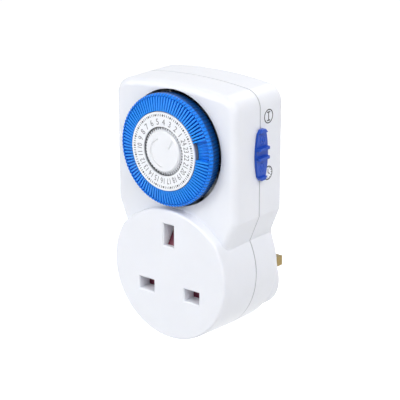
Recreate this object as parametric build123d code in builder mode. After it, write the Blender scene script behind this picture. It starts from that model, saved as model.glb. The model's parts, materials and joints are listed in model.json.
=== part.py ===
"""Plug-in mechanical timer switch: a through-socket with a 24 hour tappet dial.

The frame: the origin is on the plug base (the face that meets the wall outlet), level with the
middle of the socket boss. +X is right seen from the front, +Y points into the wall, +Z is up.
Everything in front of the wall has a depth: its distance forward of the plug base, along -Y.
All lengths are in millimetres, all angles in degrees.
"""

import os
from math import acos, cos, pi, radians, sin, sqrt, tan

from build123d import *

# ---------------------------------------------------------------- housing
wall = 2.0
body_width = 58.0
body_top = 73.4
body_crown = 2.4
body_corner = 7.0
body_edge = 3.0
body_face = 34.0
back_face = 4.2
back_edge = 2.6
seam = 19.0
seam_groove = 0.28
waist_top = 23.5
waist_bottom = 13.0
waist_corner = 1.2
block_foot = 10.0
drum_radius = 27.9
boss_taper = 0.7
boss_flat = 2.4
boss_flat_shoulder = 4.9
boss_flat_blend = 8.0
boss_face = 37.7
boss_edge = 1.0
boss_floor = 2.2
tongue_height = 1.0
tongue_wall = 0.9
lap_gap = 0.1

# ---------------------------------------------------------------- plug base pad
pad_top = 28.5
pad_top_half = 17.4
pad_top_corner = 5.0
pad_side_z = -14.6
pad_side_half = 26.9
pad_side_corner = 12.0
pad_bottom_z = -21.7
pad_bottom_half = 15.0
pad_corner = 4.0
pad_edge = 0.9
pad_straight = 3.4
pad_flare_depth = 10.0
pad_flare_angle = 14.0

# ---------------------------------------------------------------- plug pins and socket apertures
live_x = 11.1
live_z = -7.62
earth_z = 14.58
live_pin_width = 6.35
live_pin_height = 3.97
live_pin_length = 17.7
earth_pin_width = 3.97
earth_pin_height = 7.92
earth_pin_length = 22.7
pin_tip = 1.1
sleeve_length = 9.5
sleeve_wall = 0.6
pin_gap = 0.05
tenon_radius = 1.25
tenon_length = 1.5
tenon_head_radius = 1.9
tenon_head = 0.6
live_hole_width = 7.2
live_hole_height = 4.9
earth_hole_width = 4.9
earth_hole_height = 8.8
hole_chamfer = 0.5
tunnel_depth = 6.0
tunnel_wall = 1.2

# ---------------------------------------------------------------- shutter
shutter_gap = 0.2
shutter_thickness = 1.6
shutter_half = 16.0
shutter_bottom = -10.7
shutter_wing_top = -4.75
shutter_stem_half = 4.2
shutter_ramp_half = 2.2
ramp_top = 15.8
ramp_foot = 9.9
ramp_heel = 7.0
ramp_reach = 3.8
spring_half = 2.2
spring_strip = 0.3
spring_depth = 1.3
spring_rows = 7
spring_length = 8.6
spring_seat = 0.05

# ---------------------------------------------------------------- socket carrier and clips
carrier_radius = 23.3
carrier_half = 18.2
carrier_top = 20.6
carrier_plate = 1.6
rail_width = 2.0
rail_bottom = -9.2
rail_top = 3.0
shelf_thickness = 1.2
shelf_half = 3.2
tube_wall = 0.9
live_tube_half_x = 3.7
live_tube_half_z = 3.4
earth_tube_half_x = 3.4
earth_tube_half_z = 4.6
tube_end = 7.2
clip_strip = 0.7
clip_width = 5.0
clip_mouth = 27.5
clip_pinch = 25.4
clip_base = 16.5
earth_clip_base = 14.3
clip_flare = 2.6
clip_spread = 2.4
clip_grip = 0.08
strap_width = 4.0
strap_strip = 0.8
strap_gap = 0.2
strap_rise = 8.0
strap_shift = 9.0
strip_shift = 10.0
strip_lap = 3.0
clip_foot = 6.0
foot_margin = 0.6
notch_below = 3.2
notch_depth = 4.0

# ---------------------------------------------------------------- dial
dial_z = 48.5
day_quarters = 96
group_size = 6
midnight_angle = 28.2
scale_face = 40.26
scale_radius = 15.04
scale_plate = 1.6
scale_wall = 1.3
knob_radius = 9.3
knob_gap = 0.15
knob_proud = 0.6
knob_face_radius = 7.5
knob_teeth = 48
knob_tooth = 1.3
knob_tooth_drop = 0.75
knob_floor = 1.9
knob_head_gap = 0.35
ring_face = 38.95
ring_sink = 0.6
ring_floor = 1.0
ring_inner = 13.2
ring_bore_gap = 0.15
rim_inner = 20.8
rim_face_radius = 21.3
rim_round_radius = 21.65
rim_front_radius = 21.8
rim_back_radius = 21.35
rim_round = 0.35
rim_shoulder = 1.1
scallop = 0.24
fin_drop = 1.0
tappet_width = 0.66
tappet_gap = 0.06
tappet_head_inner = 15.35
tappet_head_outer = 20.7
tappet_foot_inner = 16.6
tappet_foot_outer = 19.2
tappet_travel = 1.95
tappet_seat = 0.05
tappet_inner_face = 40.1
tappet_outer_face = 39.1
tappet_bevel = 0.35
dial_gap = 0.75

# ---------------------------------------------------------------- dial axle, hub and clutch
axle_radius = 1.5
axle_gap = 0.05
axle_head_radius = 2.6
axle_head = 0.75
hub_radius = 3.6
hub_back = 31.6
washer_inner = 1.8
washer_outer = 6.0
washer_strip = 0.3
washer_gap = 0.05

# ---------------------------------------------------------------- gear train
dial_gear_teeth = 60
dial_gear_module = 0.5
slow_pinion_teeth = 10
slow_wheel_teeth = 40
fast_pinion_teeth = 10
fast_wheel_teeth = 40
output_teeth = 10
train_module = 0.4
slow_gear_angle = 225.0
fast_gear_angle = 111.3
output_angle = 40.5
gear_thickness = 1.6
wheel_thickness = 1.2
layer_gap = 0.6
addendum = 0.8
dedendum = 1.1
backlash = 0.28
pressure_angle = 20.0
gear_pin_radius = 0.75
gear_pin_head = 1.2
gear_pin_cap = 0.35
gear_hub_wall = 0.6
gear_lift = 0.3

# ---------------------------------------------------------------- chassis
chassis_back = 20.2
chassis_thickness = 1.6
chassis_half = 22.0
chassis_bottom = 27.0
chassis_top = 62.6
chassis_tab_half = 2.6
chassis_tab_bottom = 20.9
chassis_corner = 2.0
chassis_post_radius = 2.4
chassis_screw_x = 14.0
chassis_screw_drop = 1.6
chassis_screw_bottom = 23.3
chassis_screw_radius = 1.0
chassis_screw_length = 7.0
screw_end_gap = 0.5
small_head_radius = 1.9
small_head = 1.2
dial_post_radius = 3.0

# ---------------------------------------------------------------- motor
motor_radius = 12.0
gearbox_depth = 5.2
motor_depth = 8.0
motor_wall = 0.7
motor_ear = 14.6
motor_ear_radius = 2.4
motor_ear_thickness = 1.6
motor_ear_angles = (-10.0, 225.0)
output_shaft_radius = 0.9
shaft_hole_gap = 0.4
shaft_seat_depth = 0.1
bobbin_inner = 6.3
bobbin_outer = 10.8
bobbin_wall = 0.6
bobbin_gap = 0.3
winding_outer = 10.3
rotor_radius = 5.4
rotor_shaft_radius = 0.8
lead_radius = 0.55
lead_sides = 8
lead_height = 3.4
lead_drop = 12.0
lead_offset = 3.0
neutral_landing_gap = 2.6
line_landing_rise = 6.5

# ---------------------------------------------------------------- trip plunger, slider and contacts
plunger_reach = 17.9
plunger_angle = -20.0
plunger_radius = 1.1
plunger_gap = 0.05
nose_gap = 0.2
plunger_tail = 13.7
plunger_travel = 1.9
guide_radius = 2.2
guide_height = 4.0
lug_below = 1.2
lug_above = 1.8
lug_back = 16.9
lug_gap = 2.15
slider_travel = 5.35
slider_z = 47.9
slider_length = 19.6
slider_mid_width = 7.1
slider_end_width = 2.2
slider_end_rise = 1.5
slider_shoulder_width = 4.9
slider_floor = 0.9
slider_height = 1.9
slider_cap = 1.3
slider_ridge = 2.35
slider_ridge_width = 1.0
slider_ridge_pitch = 3.65
slider_ridge_shift = 0.55
slider_ridge_slope = 0.5
slider_edge = 0.25
slider_gap = 0.15
slider_neck_length = 8.0
slider_neck_width = 3.0
slider_plate = 1.3
slider_plate_width = 4.8
slider_plate_top = 54.0
wedge_front = 19.9
wedge_top = 42.9
wedge_bottom = 35.4
wedge_tip = 0.6
wedge_clear = 0.5
wedge_gap = 0.1
leaf_root = 28.0
leaf_top = 48.4
leaf_front = 13.6
leaf_strip = 0.4
contact_z = 46.5
contact_radius = 1.5
contact_head = 0.8
fixed_contact_face = 9.65
crank_bottom = 41.0
crank_top = 43.0
crank_depth = 8.3
leaf_post_radius = 1.9

# ---------------------------------------------------------------- housing screws
top_screw_x = 22.5
top_screw_z = 66.5
low_screw_x = 19.6
low_screw_z = -13.4
screw_radius = 1.4
screw_head_radius = 2.3
screw_head_top = 1.5
screw_head = 1.8
screw_head_side = 0.9
screw_seat = 9.0
screw_length = 18.0
screw_gap = 0.06
recess_radius = 2.5
front_post_radius = 3.0
back_post_radius = 3.5
screw_bore_end = 30.0

# ---------------------------------------------------------------- worked out from the sizes above
half_width = body_width / 2
face_back = body_face - wall
back_inner = back_face + wall
boss_inner = boss_face - boss_floor
boss_radius = drum_radius - boss_taper
ring_back = body_face - ring_sink
dial_opening = rim_front_radius + dial_gap
tunnel_end = boss_face - tunnel_depth
shutter_front = tunnel_end - shutter_gap
shutter_back = shutter_front - shutter_thickness
carrier_front = shutter_back - shutter_gap
carrier_back = carrier_front - carrier_plate
boss_draft = 180 / pi * (drum_radius - boss_radius) / (boss_face - seam)
quarter = 360 / day_quarters
group_count = day_quarters // group_size
first_group_angle = midnight_angle - 2 * 360 / 24
head_underside = ring_back + ring_floor + tappet_travel + tappet_seat
tappet_back = ring_back + 3 * tappet_seat
plunger_nose = tappet_back - tappet_travel - nose_gap
chassis_front = chassis_back + chassis_thickness
chassis_ear_top = body_top - wall - body_crown * chassis_screw_x / half_width
chassis_screw_top = chassis_ear_top - chassis_screw_drop
gearbox_back = chassis_back - gearbox_depth
motor_back = gearbox_back - motor_depth
slider_seat = half_width + slider_gap
plate_outer_x = half_width - wall - slider_gap
strap_front = back_inner + strap_strip
wedge_slope = plunger_travel / slider_travel
screw_places = [
    (top_screw_x, top_screw_z),
    (-top_screw_x, top_screw_z),
    (low_screw_x, low_screw_z),
    (-low_screw_x, low_screw_z),
]
chassis_screw_places = [
    (chassis_screw_x, chassis_screw_top),
    (-chassis_screw_x, chassis_screw_top),
    (0, chassis_screw_bottom),
]


def polar(centre, radius, angle):
    """A point (x, z) at an angle seen from the front, anticlockwise from +X."""
    return (
        centre[0] + radius * cos(radians(angle)),
        centre[1] + radius * sin(radians(angle)),
    )


dial_gear_radius = dial_gear_teeth * dial_gear_module / 2
slow_pinion_radius = slow_pinion_teeth * dial_gear_module / 2
slow_wheel_radius = slow_wheel_teeth * train_module / 2
fast_pinion_radius = fast_pinion_teeth * train_module / 2
fast_wheel_radius = fast_wheel_teeth * train_module / 2
output_radius = output_teeth * train_module / 2
dial_at = (0.0, dial_z)
slow_at = polar(dial_at, dial_gear_radius + slow_pinion_radius, slow_gear_angle)
fast_at = polar(slow_at, slow_wheel_radius + fast_pinion_radius, fast_gear_angle)
output_at = polar(fast_at, fast_wheel_radius + output_radius, output_angle)
plunger_at = polar(dial_at, plunger_reach, plunger_angle)
wedge_inner_x = plunger_at[0] + plunger_radius + wedge_clear
ear_places = [polar(output_at, motor_ear, angle) for angle in motor_ear_angles]

dial_gear_front = hub_back - 1.4
dial_gear_back = dial_gear_front - gear_thickness
slow_wheel_front = dial_gear_back - layer_gap
slow_wheel_back = slow_wheel_front - wheel_thickness
fast_wheel_front = slow_wheel_back - 1.0
fast_wheel_back = fast_wheel_front - wheel_thickness


def front_plane(depth, at=(0.0, 0.0)):
    """A drawing plane that faces forward: x is right, y is up, and extrusion adds depth."""
    return Plane(origin=(at[0], -depth, at[1]), x_dir=(1, 0, 0), z_dir=(0, -1, 0))


def turning_plane(at=(0.0, 0.0)):
    """A half section through a front-to-back axis: x is radius, y is depth."""
    return Plane(origin=(at[0], 0, at[1]), x_dir=(1, 0, 0), z_dir=(0, 0, -1))


def turning_axis(at=(0.0, 0.0)):
    """The front-to-back axis itself."""
    return Axis((at[0], 0, at[1]), (0, -1, 0))


def side_plane(x):
    """A drawing plane seen from the side: x is height, y is depth, and extrusion goes to +X."""
    return Plane(origin=(x, 0, 0), x_dir=(0, 0, 1), z_dir=(1, 0, 0))


def plan_plane(z):
    """A drawing plane seen in plan: x is right, y is depth, and extrusion goes down."""
    return Plane(origin=(0, 0, z), x_dir=(1, 0, 0), z_dir=(0, 0, -1))


def finish(builder, name):
    """Name a finished piece and write it."""
    builder.part.label = name
    export_step(builder.part, f"parts/{name}.step")


os.makedirs("parts", exist_ok=True)


# ================================================================ outlines of the housing
def block_outline(inset=0.0):
    """The timer block: a crowned top, drawn in at the waist, tucked into the drum below."""
    slope = (half_width - sqrt(drum_radius**2 - waist_bottom**2)) / (waist_top - waist_bottom)
    foot_z = waist_bottom - block_foot
    foot_half = half_width - slope * (waist_top - foot_z)
    shoulder = body_top - body_crown
    with BuildSketch() as outline:
        with BuildLine():
            ThreePointArc((-half_width, shoulder), (0, body_top), (half_width, shoulder))
            Polyline(
                (half_width, shoulder),
                (half_width, waist_top),
                (foot_half, foot_z),
                (-foot_half, foot_z),
                (-half_width, waist_top),
                (-half_width, shoulder),
            )
        make_face()
        fillet(outline.vertices().group_by(Axis.Y)[-1], body_corner)
        fillet(outline.vertices().group_by(Axis.X)[-1].sort_by(Axis.Y)[0], waist_corner)
        fillet(outline.vertices().group_by(Axis.X)[0].sort_by(Axis.Y)[0], waist_corner)
        if inset:
            offset(amount=-inset)
    return outline.sketch


def boss_outline(inset=0.0):
    """The socket boss: the drum's circle, flattened at the top to leave room for the dial."""
    side_x = drum_radius - boss_flat_shoulder
    side_z = sqrt(drum_radius**2 - side_x**2)
    with BuildSketch() as outline:
        with BuildLine():
            ThreePointArc((side_x, side_z), (0, drum_radius - boss_flat), (-side_x, side_z))
            ThreePointArc((-side_x, side_z), (0, -drum_radius), (side_x, side_z))
        make_face()
        fillet(outline.vertices(), boss_flat_blend)
        if inset:
            offset(amount=-inset)
    return outline.sketch


def housing_outline(inset=0.0):
    """The whole outline at the seam: the timer block and the drum together."""
    with BuildSketch() as outline:
        add(block_outline(inset))
        Circle(drum_radius - inset)
    return outline.sketch


def slab(depth, thickness, sketch, taper=0.0, mode=Mode.ADD, at=(0.0, 0.0)):
    """Extrude a flat outline forward from a depth, inside the part that is being built."""
    with BuildSketch(front_plane(depth, at)) as outline:
        add(sketch)
    extrude(outline.sketch, amount=thickness, taper=taper, mode=mode)


def discs(depth, thickness, radius, places, mode=Mode.ADD):
    """Round posts or holes at several places, inside the part that is being built."""
    with BuildSketch(front_plane(depth)) as outline:
        with Locations(*places):
            Circle(radius)
    extrude(outline.sketch, amount=thickness, mode=mode)


def blocks(depth, thickness, width, height, places, mode=Mode.ADD):
    """Rectangular posts or holes at several places, inside the part that is being built."""
    with BuildSketch(front_plane(depth)) as outline:
        with Locations(*places):
            Rectangle(width, height)
    extrude(outline.sketch, amount=thickness, mode=mode)


live_places = [(live_x, live_z), (-live_x, live_z)]
neutral_place = [(-live_x, live_z)]
earth_place = [(0, earth_z)]
slot_length = slider_neck_length + slider_travel + 2 * slider_gap
slot_z = slider_z + slider_travel / 2
slot_depth = slider_neck_width + 2 * slider_gap

# ================================================================ front shell
with BuildPart() as front_cavity:
    slab(seam, face_back - seam, block_outline(wall))
    slab(seam, boss_inner - seam, boss_outline(wall), taper=boss_draft)
    discs(seam, boss_inner - seam, front_post_radius, screw_places, Mode.SUBTRACT)
    discs(chassis_front, boss_inner - chassis_front, chassis_post_radius, chassis_screw_places, Mode.SUBTRACT)
    blocks(
        tunnel_end,
        tunnel_depth,
        live_hole_width + 2 * tunnel_wall,
        live_hole_height + 2 * tunnel_wall,
        live_places,
        Mode.SUBTRACT,
    )
    blocks(
        tunnel_end,
        tunnel_depth,
        earth_hole_width + 2 * tunnel_wall,
        earth_hole_height + tunnel_wall,
        [(0, earth_z + tunnel_wall / 2)],
        Mode.SUBTRACT,
    )

with BuildPart() as front_shell:
    slab(seam, seam_groove, housing_outline(seam_groove), taper=-45)
    slab(seam + seam_groove, body_face - seam - seam_groove, block_outline())
    fillet(front_shell.faces().sort_by(Axis.Y)[0].edges(), body_edge)
    slab(seam + seam_groove, boss_face - seam - seam_groove, boss_outline(), taper=boss_draft)
    fillet(front_shell.faces().sort_by(Axis.Y)[0].edges(), boss_edge)
    add(front_cavity.part, mode=Mode.SUBTRACT)
    slab(seam, tongue_height + lap_gap, housing_outline(wall - tongue_wall - lap_gap), mode=Mode.SUBTRACT)
    discs(seam, tongue_height + lap_gap, front_post_radius, screw_places)
    discs(face_back, wall, dial_opening, [dial_at], Mode.SUBTRACT)
    blocks(tunnel_end, tunnel_depth, live_hole_width, live_hole_height, live_places, Mode.SUBTRACT)
    blocks(tunnel_end, tunnel_depth, earth_hole_width, earth_hole_height, earth_place, Mode.SUBTRACT)
    face_edges = front_shell.edges().filter_by_position(Axis.Y, -boss_face - 0.01, -boss_face + 0.01)
    chamfer(face_edges.filter_by(GeomType.LINE), hole_chamfer)
    discs(seam, screw_bore_end - seam, screw_radius + screw_gap, screw_places, Mode.SUBTRACT)
    discs(
        chassis_front,
        chassis_screw_length,
        chassis_screw_radius + screw_gap,
        chassis_screw_places,
        Mode.SUBTRACT,
    )
    with BuildSketch(side_plane(half_width - 2 * wall)):
        with Locations((slot_z, seam)):
            Rectangle(slot_length, slot_depth)
    extrude(amount=3 * wall, mode=Mode.SUBTRACT)
finish(front_shell, "front_shell")


# ================================================================ rear shell
def pad_outline():
    """The plug base: widest beside the line and neutral pins, narrow past the earth pin."""
    with BuildSketch() as outline:
        with BuildLine():
            Polyline(
                (0, pad_top),
                (pad_top_half, pad_top),
                (pad_side_half, pad_side_z),
                (pad_bottom_half, pad_bottom_z),
                (0, pad_bottom_z),
            )
            mirror(about=Plane.YZ)
        make_face()
        fillet(outline.vertices().group_by(Axis.Y)[-1], pad_top_corner)
        fillet(outline.vertices().group_by(Axis.X)[-1], pad_side_corner)
        fillet(outline.vertices().group_by(Axis.X)[0], pad_side_corner)
        fillet(outline.vertices().group_by(Axis.Y)[0], pad_corner)
    return outline.sketch


with BuildPart() as rear_cavity:
    slab(back_inner, seam - back_inner, housing_outline(wall))
    discs(back_inner, seam - back_inner, back_post_radius, screw_places, Mode.SUBTRACT)
    blocks(
        back_inner,
        crank_depth - back_inner,
        strap_width,
        leaf_top - crank_top - 1,
        [(plunger_at[0], (leaf_top + crank_top) / 2)],
        Mode.SUBTRACT,
    )

with BuildPart() as rear_shell:
    slab(back_face, seam - seam_groove - back_face, housing_outline())
    fillet(rear_shell.faces().sort_by(Axis.Y)[-1].edges(), back_edge)
    slab(seam - seam_groove, seam_groove, housing_outline(), taper=45)
    slab(0, pad_straight, pad_outline())
    slab(pad_straight, pad_flare_depth - pad_straight, pad_outline(), taper=pad_flare_angle)
    fillet(rear_shell.faces().sort_by(Axis.Y)[-1].edges(), pad_edge)
    add(rear_cavity.part, mode=Mode.SUBTRACT)
    slab(seam, tongue_height, housing_outline(wall - tongue_wall))
    slab(seam, tongue_height, housing_outline(wall), mode=Mode.SUBTRACT)
    discs(seam, tongue_height, front_post_radius + 2 * lap_gap, screw_places, Mode.SUBTRACT)
    discs(0, screw_seat, recess_radius, screw_places, Mode.SUBTRACT)
    discs(0, seam, screw_radius + screw_gap, screw_places, Mode.SUBTRACT)
    blocks(
        0,
        back_inner,
        live_pin_width + 2 * pin_gap,
        live_pin_height + 2 * pin_gap,
        live_places,
        Mode.SUBTRACT,
    )
    blocks(
        0,
        back_inner,
        earth_pin_width + 2 * pin_gap,
        earth_pin_height + 2 * pin_gap,
        earth_place,
        Mode.SUBTRACT,
    )
    with BuildSketch(side_plane(half_width - 2 * wall)):
        with Locations((slot_z, seam)):
            Rectangle(slot_length, slot_depth)
    extrude(amount=3 * wall, mode=Mode.SUBTRACT)
finish(rear_shell, "rear_shell")

# ================================================================ housing screws
with BuildPart() as screw:
    with BuildSketch(turning_plane()):
        with BuildLine():
            Polyline(
                (0, screw_seat + screw_length),
                (screw_radius, screw_seat + screw_length),
                (screw_radius, screw_seat),
                (screw_head_radius, screw_seat),
                (screw_head_radius, screw_seat - screw_head_side),
                (screw_head_top, screw_seat - screw_head),
                (0, screw_seat - screw_head),
                close=True,
            )
        make_face()
    revolve(axis=turning_axis())

with BuildPart() as housing_screws:
    with Locations(*[(x, 0, z) for x, z in screw_places]):
        add(screw.part)
finish(housing_screws, "housing_screws")


# ================================================================ plug pins
def plug_pin(at, width, height, length, sleeved):
    """A solid brass pin with a bevelled tip, and a riveted tenon inside the housing."""
    with BuildPart() as pin:
        blocks(-length, length + back_inner, width, height, [at])
        chamfer(pin.faces().sort_by(Axis.Y)[-1].edges(), pin_tip)
        if sleeved:
            blocks(-sleeve_length, sleeve_length, width, height, [at], Mode.SUBTRACT)
            blocks(
                -sleeve_length,
                sleeve_length,
                width - 2 * sleeve_wall,
                height - 2 * sleeve_wall,
                [at],
            )
        discs(back_inner, tenon_length - tenon_head, tenon_radius, [at])
        discs(back_inner + strap_strip, tenon_head, tenon_head_radius, [at])
    return pin


line_pin = plug_pin((live_x, live_z), live_pin_width, live_pin_height, live_pin_length, True)
finish(line_pin, "line_pin")
neutral_pin = plug_pin((-live_x, live_z), live_pin_width, live_pin_height, live_pin_length, True)
finish(neutral_pin, "neutral_pin")
earth_pin = plug_pin((0, earth_z), earth_pin_width, earth_pin_height, earth_pin_length, False)
finish(earth_pin, "earth_pin")

with BuildPart() as pin_sleeves:
    blocks(-sleeve_length, sleeve_length, live_pin_width, live_pin_height, live_places)
    blocks(
        -sleeve_length,
        sleeve_length,
        live_pin_width - 2 * sleeve_wall,
        live_pin_height - 2 * sleeve_wall,
        live_places,
        Mode.SUBTRACT,
    )
finish(pin_sleeves, "pin_sleeves")

# ================================================================ shutter and its spring
with BuildPart() as shutter:
    with BuildSketch(front_plane(shutter_back)):
        with Locations((0, (shutter_bottom + shutter_wing_top) / 2)):
            Rectangle(2 * shutter_half, shutter_wing_top - shutter_bottom)
        with Locations((0, (shutter_bottom + ramp_top) / 2)):
            Rectangle(2 * shutter_stem_half, ramp_top - shutter_bottom)
    extrude(amount=shutter_thickness)
    with BuildSketch(side_plane(-shutter_ramp_half)):
        with BuildLine():
            Polyline(
                (ramp_top, shutter_front),
                (ramp_foot, shutter_front + ramp_reach),
                (ramp_heel, shutter_front + ramp_reach),
                (ramp_heel - ramp_reach / 2, shutter_front),
                close=True,
            )
        make_face()
    extrude(amount=2 * shutter_ramp_half)
finish(shutter, "shutter")

with BuildPart() as shutter_spring:
    row_top = shutter_bottom - spring_seat - spring_strip / 2
    row_pitch = (spring_length - spring_strip) / (spring_rows - 1)
    with BuildSketch(front_plane(shutter_back + (shutter_thickness - spring_depth) / 2)):
        with BuildLine() as rows:
            Polyline(
                [
                    (spring_half * end * (-1) ** row, row_top - row_pitch * row)
                    for row in range(spring_rows)
                    for end in (-1, 1)
                ]
            )
        trace(rows.line, spring_strip)
    extrude(amount=spring_depth)
finish(shutter_spring, "shutter_spring")


# ================================================================ socket carrier
def tube(at, half_x, half_z):
    """A rectangular pocket behind the carrier plate, with a wall all round one clip."""
    blocks(tube_end, carrier_back - tube_end, 2 * (half_x + tube_wall), 2 * (half_z + tube_wall), at)


def tube_bore(at, half_x, half_z):
    """The space for the clip."""
    blocks(tube_end, carrier_back - tube_end, 2 * half_x, 2 * half_z, at, Mode.SUBTRACT)


line_strap_notch_z = live_z + live_tube_half_z + tube_wall / 2
shelf_z = shutter_bottom - spring_length - 2 * spring_seat
with BuildPart() as socket_carrier:
    with BuildSketch(front_plane(carrier_back)):
        Circle(carrier_radius)
        with Locations((0, (carrier_top - carrier_radius) / 2)):
            Rectangle(2 * carrier_half, carrier_top + carrier_radius, mode=Mode.INTERSECT)
        with Locations(*screw_places[2:]):
            Circle(back_post_radius + strap_gap, mode=Mode.SUBTRACT)
    extrude(amount=carrier_plate)
    tube(live_places, live_tube_half_x, live_tube_half_z)
    tube(earth_place, earth_tube_half_x, earth_tube_half_z)
    tube_bore(live_places, live_tube_half_x, live_tube_half_z)
    tube_bore(earth_place, earth_tube_half_x, earth_tube_half_z)
    blocks(carrier_back, carrier_plate, live_hole_width, live_hole_height, live_places, Mode.SUBTRACT)
    blocks(carrier_back, carrier_plate, earth_hole_width, earth_hole_height, earth_place, Mode.SUBTRACT)
    blocks(
        carrier_front,
        boss_inner - carrier_front,
        rail_width,
        rail_top - rail_bottom,
        [
            (shutter_half + shutter_gap + rail_width / 2, (rail_top + rail_bottom) / 2),
            (-shutter_half - shutter_gap - rail_width / 2, (rail_top + rail_bottom) / 2),
        ],
    )
    blocks(
        carrier_front,
        tunnel_end - carrier_front,
        2 * shelf_half,
        shelf_thickness,
        [(0, shelf_z - shelf_thickness / 2)],
    )
    blocks(
        clip_base - clip_strip - notch_below,
        notch_depth,
        strap_width + 2 * strap_gap,
        2 * tube_wall,
        [(live_x, line_strap_notch_z)],
        Mode.SUBTRACT,
    )
finish(socket_carrier, "socket_carrier")


# ================================================================ clips and straps
def clip_profile(middle, half_pin, base):
    """A U of spring strip: flared mouth, two pinching leaves and a base."""
    near = half_pin + clip_grip
    with BuildLine() as profile:
        leaf = Polyline(
            (middle + clip_flare, clip_mouth),
            (middle + near, clip_pinch),
            (middle + clip_spread, base),
            (middle - clip_spread, base),
            (middle - near, clip_pinch),
            (middle - clip_flare, clip_mouth),
        )
        offset(leaf, amount=clip_strip, side=Side.LEFT, kind=Kind.INTERSECTION)
    make_face(profile.edges())


def leg(low, high, back, front):
    """A straight stretch of strip in a clip's profile."""
    with Locations(((low + high) / 2, (back + front) / 2)):
        Rectangle(high - low, front - back)


clip_outer = clip_spread + clip_strip
foot_reach = tenon_head_radius + foot_margin
strap_plane = leaf_front + pin_gap

with BuildPart() as neutral_clip:
    with BuildSketch(side_plane(-live_x - clip_width / 2)):
        clip_profile(live_z, live_pin_height / 2, clip_base)
        leg(live_z - clip_outer, live_z - clip_spread, back_inner, clip_base)
        leg(live_z - clip_outer, live_z + clip_outer + clip_foot, back_inner, strap_front)
    extrude(amount=clip_width)
    discs(back_inner, strap_strip, tenon_radius + pin_gap, neutral_place, Mode.SUBTRACT)
finish(neutral_clip, "neutral_clip")

with BuildPart() as earth_clip:
    with BuildSketch(plan_plane(earth_z + clip_width / 2)):
        clip_profile(0, earth_pin_width / 2, earth_clip_base)
        leg(-clip_outer, -clip_spread, back_inner, earth_clip_base)
        leg(-clip_outer, foot_reach, back_inner, strap_front)
    extrude(amount=clip_width)
    discs(back_inner, strap_strip, tenon_radius + pin_gap, earth_place, Mode.SUBTRACT)
finish(earth_clip, "earth_clip")

with BuildPart() as line_clip:
    with BuildSketch(side_plane(live_x - clip_width / 2)):
        clip_profile(live_z, live_pin_height / 2, clip_base)
    extrude(amount=clip_width)
    with BuildSketch(side_plane(live_x - strap_width / 2)):
        leg(live_z + clip_spread - clip_strip, live_z + clip_spread, strap_plane, clip_base)
    extrude(amount=strap_width)
    with BuildSketch(front_plane(strap_plane)):
        with BuildLine() as route:
            Polyline(
                (live_x, live_z + clip_spread - clip_strip),
                (live_x, earth_z),
                (plunger_at[0], earth_z + strip_shift),
                (plunger_at[0], leaf_root + strip_lap),
            )
        trace(route.line, strap_width)
    extrude(amount=clip_strip)
finish(line_clip, "line_clip")

with BuildPart() as line_strap:
    with BuildSketch(front_plane(back_inner)):
        with BuildLine() as route:
            Polyline(
                (live_x, live_z - foot_reach),
                (live_x, earth_z + strap_rise),
                (plunger_at[0], earth_z + strap_rise + strap_shift),
                (plunger_at[0], crank_bottom),
            )
        trace(route.line, strap_width)
    extrude(amount=strap_strip)
    with BuildSketch(side_plane(plunger_at[0] - strap_width / 2)):
        with BuildLine():
            crank = Polyline(
                (crank_bottom - 1, back_inner),
                (crank_bottom, back_inner),
                (crank_top, crank_depth),
                (leaf_top, crank_depth),
            )
            offset(crank, amount=strap_strip, side=Side.LEFT, kind=Kind.INTERSECTION)
        make_face()
    extrude(amount=strap_width)
    discs(back_inner, strap_strip, tenon_radius + pin_gap, [(live_x, live_z)], Mode.SUBTRACT)
finish(line_strap, "line_strap")

with BuildPart() as fixed_contact:
    discs(
        crank_depth + strap_strip,
        fixed_contact_face - crank_depth - strap_strip,
        contact_radius,
        [(plunger_at[0], contact_z)],
    )
finish(fixed_contact, "fixed_contact")

with BuildPart() as contact_leaf:
    blocks(
        leaf_front - leaf_strip,
        leaf_strip,
        strap_width,
        leaf_top - leaf_root + 0.2,
        [(plunger_at[0], (leaf_top + leaf_root - 0.2) / 2)],
    )
finish(contact_leaf, "contact_leaf")

with BuildPart() as moving_contact:
    discs(
        leaf_front - leaf_strip - contact_head,
        contact_head,
        contact_radius,
        [(plunger_at[0], contact_z)],
    )
finish(moving_contact, "moving_contact")

# ================================================================ chassis plate
with BuildPart() as chassis_plate:
    with BuildSketch(front_plane(chassis_back)) as plate:
        with Locations((0, (chassis_bottom + chassis_top) / 2)):
            RectangleRounded(2 * chassis_half, chassis_top - chassis_bottom, chassis_corner)
        with Locations((0, (chassis_bottom + chassis_tab_bottom) / 2)):
            Rectangle(2 * chassis_tab_half, chassis_bottom - chassis_tab_bottom)
        ear_middle = (chassis_top + chassis_ear_top) / 2
        with Locations((-chassis_screw_x, ear_middle), (chassis_screw_x, ear_middle)):
            Rectangle(2 * chassis_tab_half, chassis_ear_top - chassis_top)
    extrude(amount=chassis_thickness)
    discs(chassis_front, dial_gear_back - gear_lift - chassis_front, dial_post_radius, [dial_at])
    discs(chassis_front, guide_height, guide_radius, [plunger_at])
    discs(
        strap_plane + clip_strip,
        chassis_back - strap_plane - clip_strip,
        leaf_post_radius,
        [(plunger_at[0], leaf_root + 1.5)],
    )
    discs(
        chassis_back,
        chassis_thickness,
        chassis_screw_radius + screw_gap,
        chassis_screw_places + ear_places,
        Mode.SUBTRACT,
    )
    guide_end = chassis_thickness + guide_height
    discs(chassis_back, guide_end, plunger_radius + plunger_gap, [plunger_at], Mode.SUBTRACT)
    shaft_hole = output_shaft_radius + shaft_hole_gap
    discs(chassis_back, chassis_thickness, shaft_hole, [output_at], Mode.SUBTRACT)
    discs(chassis_back, chassis_thickness, gear_pin_radius, [slow_at, fast_at], Mode.SUBTRACT)
    discs(chassis_back, dial_gear_back - chassis_back, axle_radius, [dial_at], Mode.SUBTRACT)
finish(chassis_plate, "chassis_plate")

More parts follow.
